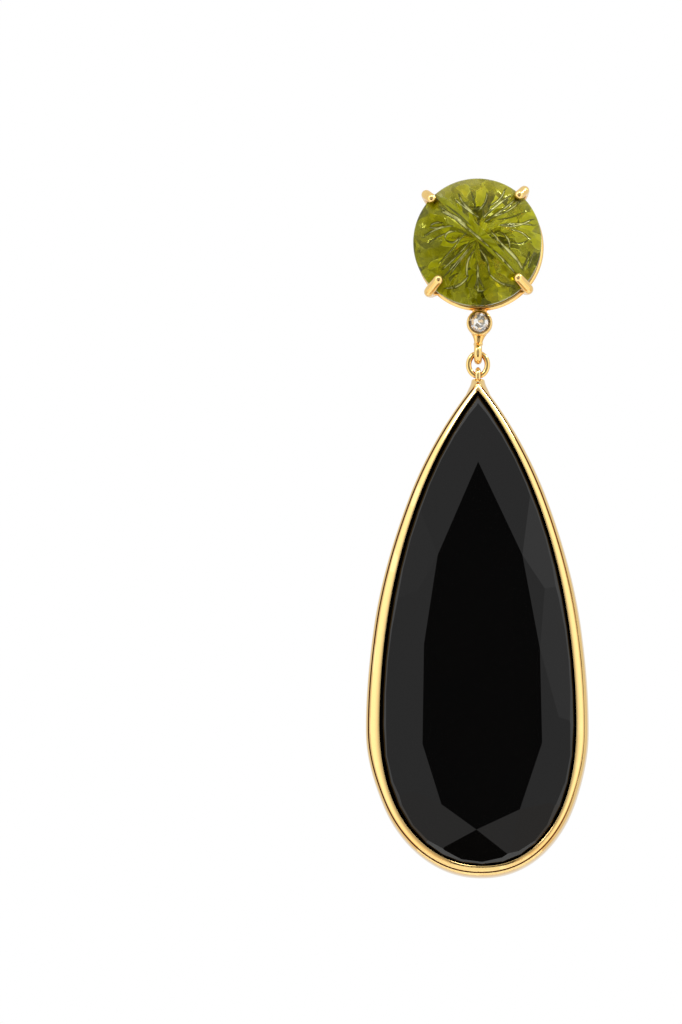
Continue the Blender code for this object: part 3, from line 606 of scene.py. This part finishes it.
def bridged(bm, loops, closed=False):
    """Bridges loops in their order, then joins the last to the first or caps both ends."""
    for first, second in zip(loops, loops[1:]):
        bmesh.ops.bridge_loops(bm, edges=first + second)
    if closed:
        bmesh.ops.bridge_loops(bm, edges=loops[-1] + loops[0])
    else:
        bmesh.ops.holes_fill(bm, edges=bm.edges, sides=0)
    bmesh.ops.recalc_face_normals(bm, faces=bm.faces)
    return bm


def wire(points, radii, sides, closed=False):
    """Round sections set along a path and bridged, with caps where the wire is open."""
    bm = bmesh.new()
    points = [Vector(point) for point in points]
    count = len(points)
    loops = []
    across = None
    for index, point in enumerate(points):
        if closed:
            ahead = points[(index + 1) % count] - points[index - 1]
        else:
            ahead = points[min(index + 1, count - 1)] - points[max(index - 1, 0)]
        ahead.normalize()
        if across is None:
            across = ahead.orthogonal()
        across = (across - ahead * across.dot(ahead)).normalized()
        upward = ahead.cross(across)
        turned = Matrix((across, upward, ahead)).transposed().to_4x4()
        turned.translation = point
        loops.append(round_section(bm, sides, radii[index], turned)[1])
    return bridged(bm, loops, closed)


def ring(centre, radius, wire_radius, axis, turns, sides):
    """A torus: one round section spun about the axis."""
    bm = bmesh.new()
    side = Vector((1.0, 0.0, 0.0)) if abs(axis[0]) < 0.5 else Vector((0.0, 1.0, 0.0))
    tangent = Vector(axis).cross(side)
    place = Matrix((side, Vector(axis), tangent)).transposed().to_4x4()
    place.translation = Vector(centre) + side * radius
    corners, edges = round_section(bm, sides, wire_radius, place)
    bmesh.ops.spin(bm, geom=corners + edges, cent=centre, axis=axis, angle=math.tau,
                   steps=turns, use_merge=True)
    bmesh.ops.recalc_face_normals(bm, faces=bm.faces)
    return bm


def oval_loft(sections, sides=64):
    """Level ovals, each with a centre, a width and a depth, bridged from foot to head."""
    bm = bmesh.new()
    loops = []
    for centre, width, depth in sections:
        oval = Matrix.Translation(centre) @ Matrix.Diagonal((width / 2, depth / 2, 1.0, 1.0))
        loops.append(round_section(bm, sides, 1.0, oval)[1])
    return bridged(bm, loops)


def block(low, high, edge_round):
    """A box between two corners, its edges rounded."""
    bm = bmesh.new()
    bmesh.ops.create_cube(bm, size=1.0)
    size = Vector(high) - Vector(low)
    bmesh.ops.scale(bm, vec=size, verts=bm.verts)
    bmesh.ops.translate(bm, vec=(Vector(high) + Vector(low)) / 2, verts=bm.verts)
    bmesh.ops.bevel(bm, geom=bm.edges[:], offset=edge_round, offset_type="OFFSET", segments=4,
                    profile=0.5, affect="EDGES", material=-1)
    return bm


def fuse(shapes, cuts=()):
    """Solders closed shapes into one solid, then cuts the openings. Returns one bmesh."""
    def loose(bm, name):
        bmesh.ops.triangulate(bm, faces=bm.faces)
        mesh = bpy.data.meshes.new(name)
        bm.to_mesh(mesh)
        bm.free()
        thing = bpy.data.objects.new(name, mesh)
        bpy.context.scene.collection.objects.link(thing)
        return thing

    body = loose(shapes[0], "soldered")
    helpers = []
    for index, (shape, operation) in enumerate([(shape, "UNION") for shape in shapes[1:]]
                                               + [(cut, "DIFFERENCE") for cut in cuts]):
        helper = loose(shape, f"joined_{index}")
        helpers.append(helper)
        step = body.modifiers.new(helper.name, "BOOLEAN")
        step.operation = operation
        step.solver = "EXACT"
        step.object = helper
    evaluated = body.evaluated_get(bpy.context.evaluated_depsgraph_get())
    mesh = bpy.data.meshes.new_from_object(evaluated)
    bm = bmesh.new()
    bm.from_mesh(mesh)
    for thing in [body, *helpers]:
        bpy.data.objects.remove(thing, do_unlink=True)
    return bm


# Carved stone

def stroke_cut(stroke, x, z):
    """Depth that one stroke cuts at a point: a V along a bowed line, shallower at its ends."""
    _, x1, z1, x2, z2, bow, half_width, depth = stroke
    run = math.hypot(x2 - x1, z2 - z1)
    along = ((x - x1) * (x2 - x1) + (z - z1) * (z2 - z1)) / (run * run)
    if not 0.0 < along < 1.0:
        return 0.0
    left = ((x2 - x1) * (z - z1) - (z2 - z1) * (x - x1)) / run
    off = abs(left - 4.0 * bow * along * (1.0 - along))
    width = half_width * (0.35 + 0.65 * math.sin(math.pi * along) ** 0.5)
    if off >= width:
        return 0.0
    return depth * (1.0 - off / width) * min(along, 1.0 - along, 0.12) / 0.12


def carving(x, z):
    """The carving at a point: its height over the dome, how deep it is cut, and the bar."""
    radius = math.hypot(x, z)
    down = (x - z) * math.sqrt(0.5)
    off_bar = (x + z) * math.sqrt(0.5) - bar_shift
    off_rib = down - rib_shift
    bar = bar_half_width * (1.0 - bar_taper_per_mm * abs(down) / mm)
    bar_share = 1.0 - smooth_share(abs(off_bar), bar * 0.86, bar * 1.02)
    height = bar_height * bar_share
    rib = rib_half_width * (1.0 - rib_taper_per_mm * radius / mm)
    height = max(height, rib_height * (1.0 - smooth_share(abs(off_rib), rib * 0.8, rib * 1.1))
                 * smooth_share(off_bar, bar, bar * 1.6))
    cut = max(stroke_cut(stroke, x / mm, z / mm) for stroke in strokes)
    height -= stroke_share * cut * mm
    height += chip_height * hills.noise(Vector((x / mm, z / mm, 0.0)) * chips_per_mm)
    fade = 1.0 - smooth_share(radius, carving_fade_start, carving_fade_end)
    return height * fade, min(cut * cut_shown_per_mm, 1.0) * fade, bar_share * fade


def cut_away(bm, place, way):
    """Cuts off what lies past a plane, and closes the cut with one facet."""
    geometry = bm.verts[:] + bm.edges[:] + bm.faces[:]
    result = bmesh.ops.bisect_plane(bm, geom=geometry, dist=0.00001 * mm, plane_co=place,
                                    plane_no=way, clear_outer=True)
    rim = [piece for piece in result["geom_cut"] if isinstance(piece, bmesh.types.BMEdge)]
    if rim:
        bmesh.ops.edgeloop_fill(bm, edges=rim)


def facet_ring(bm, centre, radius, y, count, offset, angle, backwards):
    """A ring of facets that pass through a circle and lean back or forward by an angle."""
    for number in range(count):
        turn = math.tau * (number + offset) / count
        out = Vector((math.cos(turn), 0.0, math.sin(turn)))
        place = Vector((centre[0], y, centre[2])) + out * radius
        lean = Vector((0.0, 1.0 if backwards else -1.0, 0.0)) * math.cos(angle)
        cut_away(bm, place, out * math.sin(angle) + lean)


# The back is a plain drum until its facets are cut, and the carved front closes it. Each ring
# of facets: radius and depth as shares of the stone's radius, count, offset, lean
middle = (0.0, 0.0, 0.0)
stone_seam = -stone_back_y + 0.05 * mm
pavilion = math.atan2(stone_back_depth, stone_back_taper)
stone = spun([(stone_radius, stone_seam), (stone_radius, -stone_back_y - stone_back_depth),
              (0.0, -stone_back_y - stone_back_depth)], stone_turns, middle)
bmesh.ops.holes_fill(stone, edges=stone.edges, sides=0)
bmesh.ops.recalc_face_normals(stone, faces=stone.faces)
back_facets = [(1.0, 0.0, 16, 0.5, pavilion + math.radians(5)), (0.992, 0.0, 16, 0.0, pavilion),
               (0.62, 0.385, 8, 0.25, math.radians(33))]
for radius_share, depth_share, count, offset, lean in back_facets:
    facet_ring(stone, middle, stone_radius * radius_share,
               stone_back_y + stone_radius * depth_share, count, offset, lean, True)
lid = [face for face in stone.faces if face.calc_center_median().y < -stone_seam + 0.001 * mm]
bmesh.ops.delete(stone, geom=lid, context="FACES_ONLY")
back_mesh = bpy.data.meshes.new("stone_back")
stone.to_mesh(back_mesh)
stone.free()

# The dome runs out to the bevel, whose corners alone are rounded, and down to the seam
dome_foot_y = stone_front_y - stone_bevel_rise
stone_dome = [(stone_bevel_inner * share, -dome_foot_y + stone_dome_rise * (1.0 - share * share))
              for share in (step / stone_rings for step in range(stone_rings - 8))]
stone_edge = [stone_dome.pop(), (stone_bevel_inner, -dome_foot_y), (stone_radius, -stone_front_y),
              (stone_radius, stone_seam)]
stone_edge = [tuple(point) for point in rounded([(*point, 0.0) for point in stone_edge],
                                                stone_edge_round, 8)]
stone = spun(stone_dome + [point[:2] for point in stone_edge], stone_turns, middle)
cut_layer = stone.verts.layers.float.new("cut")
bar_layer = stone.verts.layers.float.new("bar")
for vertex in stone.verts:
    if vertex.co.y < stone_front_y - carving_margin:
        height, vertex[cut_layer], vertex[bar_layer] = carving(vertex.co.x, vertex.co.z)
        vertex.co.y -= height
stone.from_mesh(back_mesh)
bpy.data.meshes.remove(back_mesh)
bmesh.ops.remove_doubles(stone, verts=stone.verts, dist=0.001 * mm)
finish_piece("carved_green_stone", stone, green_crystal(), "head",
             "carved_peridot", 24.0)


# Claw setting

def claw(turn, reach):
    """A round wire from the base ring past the gallery, then over the stone's bevelled rim."""
    stand_off = claw_wire_radius + stone_gap
    edge_radius = stone_radius + stand_off
    path = [(base_ring_radius + claw_bow / 6, base_ring_y),
            ((base_ring_radius + gallery_radius) / 2 + claw_bow, (base_ring_y + gallery_y) / 2),
            (gallery_radius + claw_bow / 2, gallery_y),
            ((gallery_radius + edge_radius) / 2 + claw_bow * 2 / 3,
             (gallery_y + stone_back_y) / 2),
            (edge_radius, stone_back_y),
            (edge_radius, stone_front_y)]
    path = [tuple(point) for point in rounded(path, claw_path_round, 5)]
    rim_angle = math.atan2(stone_bevel_width, stone_bevel_rise)
    for step in range(1, 9):
        angle = rim_angle * step / 8
        path.append((stone_radius + stand_off * math.cos(angle),
                     stone_front_y - stand_off * math.sin(angle)))
    rim_slope = Vector((-stone_bevel_width, -stone_bevel_rise)).normalized()
    dome_slope = Vector((-1.0, -claw_bent_slope)).normalized()
    place = Vector(path[-1])
    lengths = [reach * step / 16 for step in range(1, 17)]
    lengths += [reach + claw_wire_radius * (math.sin(math.radians(8 * step)) - 1.0)
                for step in range(12)]
    lengths = sorted(length for length in lengths if length <= reach)
    radii = [claw_wire_radius] * len(path)
    done = 0.0
    for length in lengths:
        bend = smooth_share(length, claw_bend_start, claw_bend_end)
        place = place + rim_slope.lerp(dome_slope, bend).normalized() * (length - done)
        done = length
        left = max(length - (reach - claw_wire_radius), 0.0) / claw_wire_radius
        path.append(tuple(place))
        radii.append(claw_wire_radius * math.sqrt(max(1.0 - left * left, 0.0009)))
    points = [(radius * math.cos(turn), y, radius * math.sin(turn)) for radius, y in path]
    return wire(points, radii, 28)


gallery_centre = (gallery_shift_x, gallery_y, 0.0)
head_shapes = [ring(gallery_centre, gallery_radius, gallery_wire_radius, (0, 1, 0), 192, 24),
               ring((0.0, base_ring_y, 0.0), base_ring_radius, base_ring_wire_radius, (0, 1, 0),
                    144, 24)]
for _, turn, reach in claws:
    head_shapes.append(claw(math.radians(turn), reach))
bar_reach = base_ring_radius + base_ring_wire_radius / 2
head_shapes.append(block((-bar_reach, -back_bar_thickness, -back_bar_width / 2),
                         (bar_reach, 0.0, back_bar_width / 2), back_bar_edge_round))
boss_radius = post_radius + post_gap + socket_wall
boss = [(0.0, socket_start), (boss_radius, socket_start),
        (boss_radius, socket_depth + socket_floor), (0.0, socket_depth + socket_floor)]
head_shapes.append(spun([tuple(point) for point in rounded(boss, boss_edge_round)], 64, middle))
cup_centre = (gallery_shift_x, 0.0, cup_z)
cup_forward = -cup_front_y
cup_outline = [(0.0, cup_forward), (cup_outer_radius - cup_lip_inset, cup_forward),
               (cup_outer_radius, cup_forward - cup_lip_drop),
               (cup_outer_radius, cup_forward - cup_wall_depth),
               (cup_back_radius, cup_forward - cup_depth), (0.0, cup_forward - cup_depth)]
head_shapes.append(spun([tuple(point) for point in rounded(cup_outline, cup_edge_round, 6)], 96,
                        cup_centre))
tail_foot = Vector((0.0, hang_y, loop_z + loop_radius))
tail_head = Vector((gallery_shift_x, hang_y, cup_z - 0.55 * cup_outer_radius))
# Below the cup the tail narrows to the loop, with a small collar: share of its height, width
tail_shares = [(0.0, 0.0), (0.06, 0.1), (0.16, 0.12), (0.22, 0.04), (0.3, 0.06), (0.45, 0.17),
               (0.6, 0.33), (0.75, 0.55), (0.88, 0.78), (1.0, 1.0)]
head_shapes.append(oval_loft([
    (tail_foot.lerp(tail_head, along),
     2 * loop_wire_radius + (1.6 * cup_outer_radius - 2 * loop_wire_radius) * wide,
     2 * loop_wire_radius + (1.3 * cup_outer_radius - 2 * loop_wire_radius) * wide)
    for along, wide in tail_shares]))
head_shapes.append(ring((0.0, hang_y, loop_z), loop_radius, loop_wire_radius, (1, 0, 0), 96, 32))
head_shapes.append(oval_loft([
    ((gallery_shift_x, gallery_y, cup_z + 0.86 * cup_outer_radius), cup_outer_radius,
     0.6 * cup_outer_radius),
    ((gallery_shift_x, gallery_y, -gallery_radius), 1.6 * cup_outer_radius,
     1.6 * gallery_wire_radius)]))
post_bore = [(0.0, socket_depth), (post_radius + post_gap, socket_depth),
             (post_radius + post_gap, -cut_over), (0.0, -cut_over)]
seat_bore = diamond_radius + 0.07 * mm
seat_hole = 0.42 * mm
seat_top = cup_forward - 0.12 * mm
diamond_seat = [(0.0, cup_forward + cut_over), (diamond_radius + 0.03 * mm, cup_forward + cut_over),
                (diamond_radius + 0.02 * mm, cup_forward - 0.02 * mm),
                (diamond_radius - 0.05 * mm, seat_top),
                (seat_bore, seat_top), (seat_bore, seat_top - 0.3 * mm),
                (seat_hole, seat_top - 0.8 * mm), (seat_hole, cup_forward - cup_depth - cut_over),
                (0.0, cup_forward - cup_depth - cut_over)]
head = fuse(head_shapes, [spun(post_bore, 64, middle), spun(diamond_seat, 96, cup_centre)])
finish_piece("claw_head", head, head_gold, "head", "claw_setting", 42.0)


# Ear post

post_root = -(socket_depth - post_gap)
post_notch = post_length - notch_to_end
post_profile = [(0.0, -post_root), (post_radius, -post_root),
                (post_radius, -(post_notch - notch_half_length)),
                (post_radius - notch_depth, -(post_notch - notch_floor_half_length)),
                (post_radius - notch_depth, -(post_notch + notch_floor_half_length)),
                (post_radius, -(post_notch + notch_half_length)),
                (post_radius, -(post_length - 0.35 * mm)),
                (post_radius * 0.75, -(post_length - 0.1 * mm)),
                (post_radius * 0.4, -post_length), (0.0, -post_length)]
post_profile = [tuple(point) for point in rounded(post_profile, post_edge_round)]
finish_piece("ear_wire_post", spun(post_profile, 48, middle), post_gold, "head",
             "ear_post")


# Jump ring

ring_steps = 120
ring_points = []
for step in range(ring_steps):
    turn = math.tau * step / ring_steps
    ring_points.append((jump_half_width * math.sin(turn), hang_y,
                        jump_z + jump_half_height * math.cos(turn)))
finish_piece("oval_jump_ring", wire(ring_points, [jump_wire_radius] * ring_steps, 28, closed=True),
             ring_gold, "link", "jump_ring")


# Bezel

def pear_stations():
    """Outline stations down the right and up the left: place, outward way and shares."""
    half = []
    arc_end = math.asin(pear_side_arc)
    arc_share = 1.0 / (1.0 - math.cos(arc_end))
    for step in range(side_steps):
        angle = arc_end * (1.0 - step / side_steps)
        half.append((pear_half_width * (1.0 - arc_share * (1.0 - math.cos(angle))),
                     pear_widest_z + pear_upper * math.sin(angle) / pear_side_arc))
    for step in range(bottom_steps + 1):
        angle = math.pi / 2 * step / bottom_steps
        half.append((pear_half_width * max(math.cos(angle), 0.0) ** (2 / pear_bottom_power),
                     pear_widest_z - pear_lower * math.sin(angle) ** (2 / pear_bottom_power)))
    half[0] = (0.0, pear_tip_z)
    half[-1] = (0.0, pear_tip_z - pear_length)
    outline = half + [(-x, z) for x, z in reversed(half[1:-1])]
    stations = []
    for index, (x, z) in enumerate(outline):
        before = outline[index - 1]
        after = outline[(index + 1) % len(outline)]
        way = Vector((-(after[1] - z), after[0] - x)).normalized()
        way_before = Vector((-(z - before[1]), x - before[0])).normalized()
        middle = (way + way_before).normalized()
        below = max(pear_widest_z - z, 0.0) / pear_lower
        stations.append({"x": x + pear_lean * below * below, "z": z,
                         "way": middle / middle.dot(way),
                         "along": (pear_tip_z - z) / pear_length,
                         "side": x / pear_half_width})
    return stations


def bezel_at(station):
    """At a station: the lip's width, the band's, the lip's reach inwards and the groove's depth.

    The lip is broader on the left, and the groove runs out on the right.
    """
    lip, flare = bezel_sections[-1][2:]
    for (_, start, *low), (_, stop, *high) in zip(bezel_sections, bezel_sections[1:]):
        if start <= station["along"] <= stop:
            share = smooth_share(station["along"], start, stop)
            lip, flare = [a + (b - a) * share for a, b in zip(low, high)]
    lip *= lip_width * (1.0 - lip_uneven_share * station["side"])
    flare *= flare_width
    moved = lip_left_extra * max(-station["side"], 0.0)
    foot = smooth_share(station["along"], 0.88, 1.0)
    right = max(station["side"], 0.0)
    reach = lip_foot_reach * foot + lip_right_reach * right * (1.0 - foot)
    groove_depth = groove_full_depth * (1.0 - groove_right_share * right * right)
    return lip + moved, flare - moved, reach, groove_depth


def bezel_section(lip, flare, reach, groove_depth):
    """(outward offset, depth behind the lip's crest) round the section, corners rounded.

    The lip reaches in over the stone, and its underside keeps to the stone's slope.
    """
    outer = lip + flare
    edge = lip_edge_depth - lip_underside_slope * reach
    crest = min(0.08 * mm, 0.2 * lip) - reach
    shoulder = 0.16 * lip
    face_end = lip - 0.01 * mm - shoulder
    face_drop = (face_end - crest) * math.tan(lip_slope)
    groove_top = face_drop + shoulder
    groove_end = lip + groove_width
    corners = [(-reach, edge), (-reach, 0.36 * edge), (crest, 0.0), (face_end, face_drop),
               (lip - 0.01 * mm, groove_top), (lip, groove_top + groove_depth),
               (lip + groove_floor_width, groove_top + groove_depth),
               (groove_end, groove_top + 0.03 * mm),
               (groove_end + 0.62 * (flare - groove_width), groove_top + 0.3 * mm),
               (outer, 1.55 * mm), (outer, 3.0 * mm),
               (outer - 0.05 * mm, bezel_depth - 0.25 * mm), (outer - 0.25 * mm, bezel_depth),
               (ledge_inner + 0.25 * mm, bezel_depth), (ledge_inner, bezel_depth - 0.25 * mm),
               (ledge_inner, ledge_depth), (seat_offset, ledge_depth), (seat_offset, seat_depth)]
    return rounded(corners, bezel_edge_round, 3, closed=True)


def bezel_point(station, offset, depth):
    """A place at an outward offset from the pear's outline and a depth behind the crest."""
    return (station["x"] + station["way"][0] * offset, bezel_front_y + depth,
            station["z"] + station["way"][1] * offset)


def closed_loop(bm, points):
    """The edges of one closed loop through the points."""
    corners = [bm.verts.new(point) for point in points]
    return [bm.edges.new((corners[index - 1], corners[index])) for index in range(len(corners))]


def stone_room():
    """The room inside the bezel, a little larger than its walls, to clear the neck from it."""
    bm = bmesh.new()
    loops = [closed_loop(bm, [bezel_point(station, offset, depth) for station in pear_stations()])
             for offset, depth in ((0.02 * mm, -0.6 * mm), (0.02 * mm, 0.3 * mm),
                                   (0.32 * mm, 0.66 * mm), (0.32 * mm, 2.85 * mm))]
    return bridged(bm, loops)


def bezel():
    """The bezel's section, set at each station of the outline and bridged all round."""
    bm = bmesh.new()
    loops = [closed_loop(bm, [bezel_point(station, offset, depth)
                              for offset, depth in bezel_section(*bezel_at(station))])
             for station in pear_stations()]
    for index, loop in enumerate(loops):
        bmesh.ops.bridge_loops(bm, edges=loops[index - 1] + loop)
    bmesh.ops.recalc_face_normals(bm, faces=bm.faces)
    return bm


# Each level of the neck: place, rise from its top, width, depth, place from front to back
neck_sections = [
    ("inside", -1.5 * mm, 2.35 * mm, 3.04 * mm, -2.2 * mm),
    ("tip", -1.27 * mm, 2.16 * mm, 3.1 * mm, -2.19 * mm),
    ("flank", -0.9 * mm, 1.82 * mm, 3.12 * mm, -2.18 * mm),
    ("waist", -0.63 * mm, 1.54 * mm, 2.93 * mm, -2.235 * mm),
    ("rise", -0.38 * mm, 1.36 * mm, 2.38 * mm, -2.31 * mm),
    ("collar", -0.17 * mm, 1.26 * mm, 1.75 * mm, -2.4 * mm),
    ("edge", -0.06 * mm, 1.18 * mm, 1.4 * mm, -2.45 * mm),
    ("brim", -0.015 * mm, 1.06 * mm, 1.2 * mm, -2.48 * mm),
    ("top", 0.0, 0.92 * mm, 1.05 * mm, -2.5 * mm),
]
neck = oval_loft([((0.0, y, neck_top_z + rise), width, depth)
                  for _, rise, width, depth, y in neck_sections])
eyelet = ring((0.0, hang_y, eyelet_z), eyelet_radius, eyelet_wire_radius, (1, 0, 0), 96, 28)
finish_piece("gold_pear_bezel", fuse([bezel(), fuse([neck], [stone_room()]), eyelet]),
             bezel_gold, "drop", "drop_bezel", 35.0)


# Small round diamond

diamond_girdle_y = cup_front_y + 0.19 * mm
diamond_table_y = diamond_girdle_y - 0.3 * mm
diamond_lower_girdle_y = diamond_girdle_y + 0.04 * mm
diamond_blank_depth = 1.08 * mm
# Each ring of facets: radius, place, count, offset, lean in degrees, backwards
diamond_facets = [
    (diamond_radius, diamond_girdle_y, 16, 0.5, 41, False),
    (diamond_radius * 0.99, diamond_girdle_y, 8, 0.0, 35, False),
    (0.5 * mm, diamond_table_y, 8, 0.5, 22, False),
    (diamond_radius, diamond_lower_girdle_y, 16, 0.5, 41.5, True),
    (diamond_radius * 0.985, diamond_lower_girdle_y, 8, 0.0, 39.5, True),
]
brilliant = bmesh.new()
bmesh.ops.create_cone(brilliant, cap_ends=True, segments=64, radius1=diamond_radius,
                      radius2=diamond_radius, depth=diamond_blank_depth)
bmesh.ops.rotate(brilliant, matrix=Matrix.Rotation(math.radians(90), 3, "X"),
                 verts=brilliant.verts)
bmesh.ops.translate(brilliant, verts=brilliant.verts,
                    vec=(gallery_shift_x, diamond_table_y + diamond_blank_depth / 2, cup_z))
for radius, place_y, count, offset, lean, backwards in diamond_facets:
    facet_ring(brilliant, cup_centre, radius, place_y, count, offset, math.radians(lean), backwards)
finish_piece("brilliant_diamond", brilliant, clear_diamond(), "head",
             "round_diamond", 2.0)


# Black pear stone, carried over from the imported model

onyx_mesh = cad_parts["faceted_onyx"].data
onyx_mesh.materials.clear()
onyx_mesh.materials.append(black_onyx())


# Floor, light and camera

def white_surround():
    """A light tent: white all round, with a dark opening in front for the camera."""
    world = bpy.data.worlds.new("light_tent")
    bpy.context.scene.world = world
    world.use_nodes = True
    tree = world.node_tree
    back = tree.nodes["Background"]
    way = node(tree, "ShaderNodeTexCoord").outputs["Generated"]

    def patch(centre, inner, outer):
        """1 within the inner angle of a direction, falling to 0 at the outer angle."""
        near = combine_vectors(tree, "DOT_PRODUCT", way, Vector(centre).normalized())
        return spread(tree, near, 0.0, 1.0, math.cos(math.radians(outer)),
                      math.cos(math.radians(inner)), "SMOOTHSTEP")

    def lit(level, patches):
        for _, centre, inner, outer, amount in patches:
            added = combine(tree, "MULTIPLY", patch(centre, inner, outer), amount)
            level = combine(tree, "ADD", level, added)
        return level

    level = combine(tree, "MAXIMUM", lit(tent_level, tent_cards), tent_darkest)
    level = lit(level, tent_lamps)
    warm = blend(tree, patch((0.0, 0.0, -1.0), 35, 85), (1.0, 1.0, 1.0), warm_below)

    # The camera itself sees plain white
    seen = node(tree, "ShaderNodeLightPath").outputs["Is Camera Ray"]
    tree.links.new(blend(tree, seen, warm, (1.0, 1.0, 1.0)), back.inputs["Color"])
    strength = node(tree, "ShaderNodeMix", data_type="FLOAT")
    feed(tree, (strength.inputs[0], strength.inputs[2], strength.inputs[3]), (seen, level, 1.0))
    tree.links.new(strength.outputs[0], back.inputs["Strength"])


white_surround()

floor_bm = bmesh.new()
bmesh.ops.create_grid(floor_bm, x_segments=4, y_segments=4, size=floor_half_width)
bmesh.ops.translate(floor_bm, vec=(0.0, 0.0, floor_z), verts=floor_bm.verts)
floor_mesh = bpy.data.meshes.new("pale_floor")
floor_bm.to_mesh(floor_mesh)
floor_bm.free()
floor = bpy.data.objects.new("pale_floor", floor_mesh)
bpy.context.scene.collection.objects.link(floor)
floor_paper, _, floor_shader = new_material("pale_paper")
floor_shader.inputs["Base Color"].default_value = (0.86, 0.86, 0.85, 1.0)
floor_shader.inputs["Roughness"].default_value = 0.9
floor_mesh.materials.append(floor_paper)

camera_data = bpy.data.cameras.new("photo_camera")
camera = bpy.data.objects.new("photo_camera", camera_data)
bpy.context.scene.collection.objects.link(camera)
toward = Vector((math.sin(view_azimuth) * math.cos(view_elevation),
                 -math.cos(view_azimuth) * math.cos(view_elevation), math.sin(view_elevation)))
right = Vector((math.cos(view_azimuth), math.sin(view_azimuth), 0.0))
up = Vector((-math.sin(view_azimuth) * math.sin(view_elevation),
             math.cos(view_azimuth) * math.sin(view_elevation), math.cos(view_elevation)))
target = Vector((0.0, stone_girdle_y, 0.0)) + right * view_right + up * view_up
camera.location = target + toward * view_distance
camera.rotation_mode = "QUATERNION"
camera.rotation_quaternion = (-toward).to_track_quat("-Z", "Y")
camera_data.lens = camera_data.sensor_width * view_distance / view_height
camera_data.clip_start = 10 * mm
camera_data.clip_end = 10.0
bpy.context.scene.camera = camera
bpy.context.scene.view_settings.view_transform = "Standard"
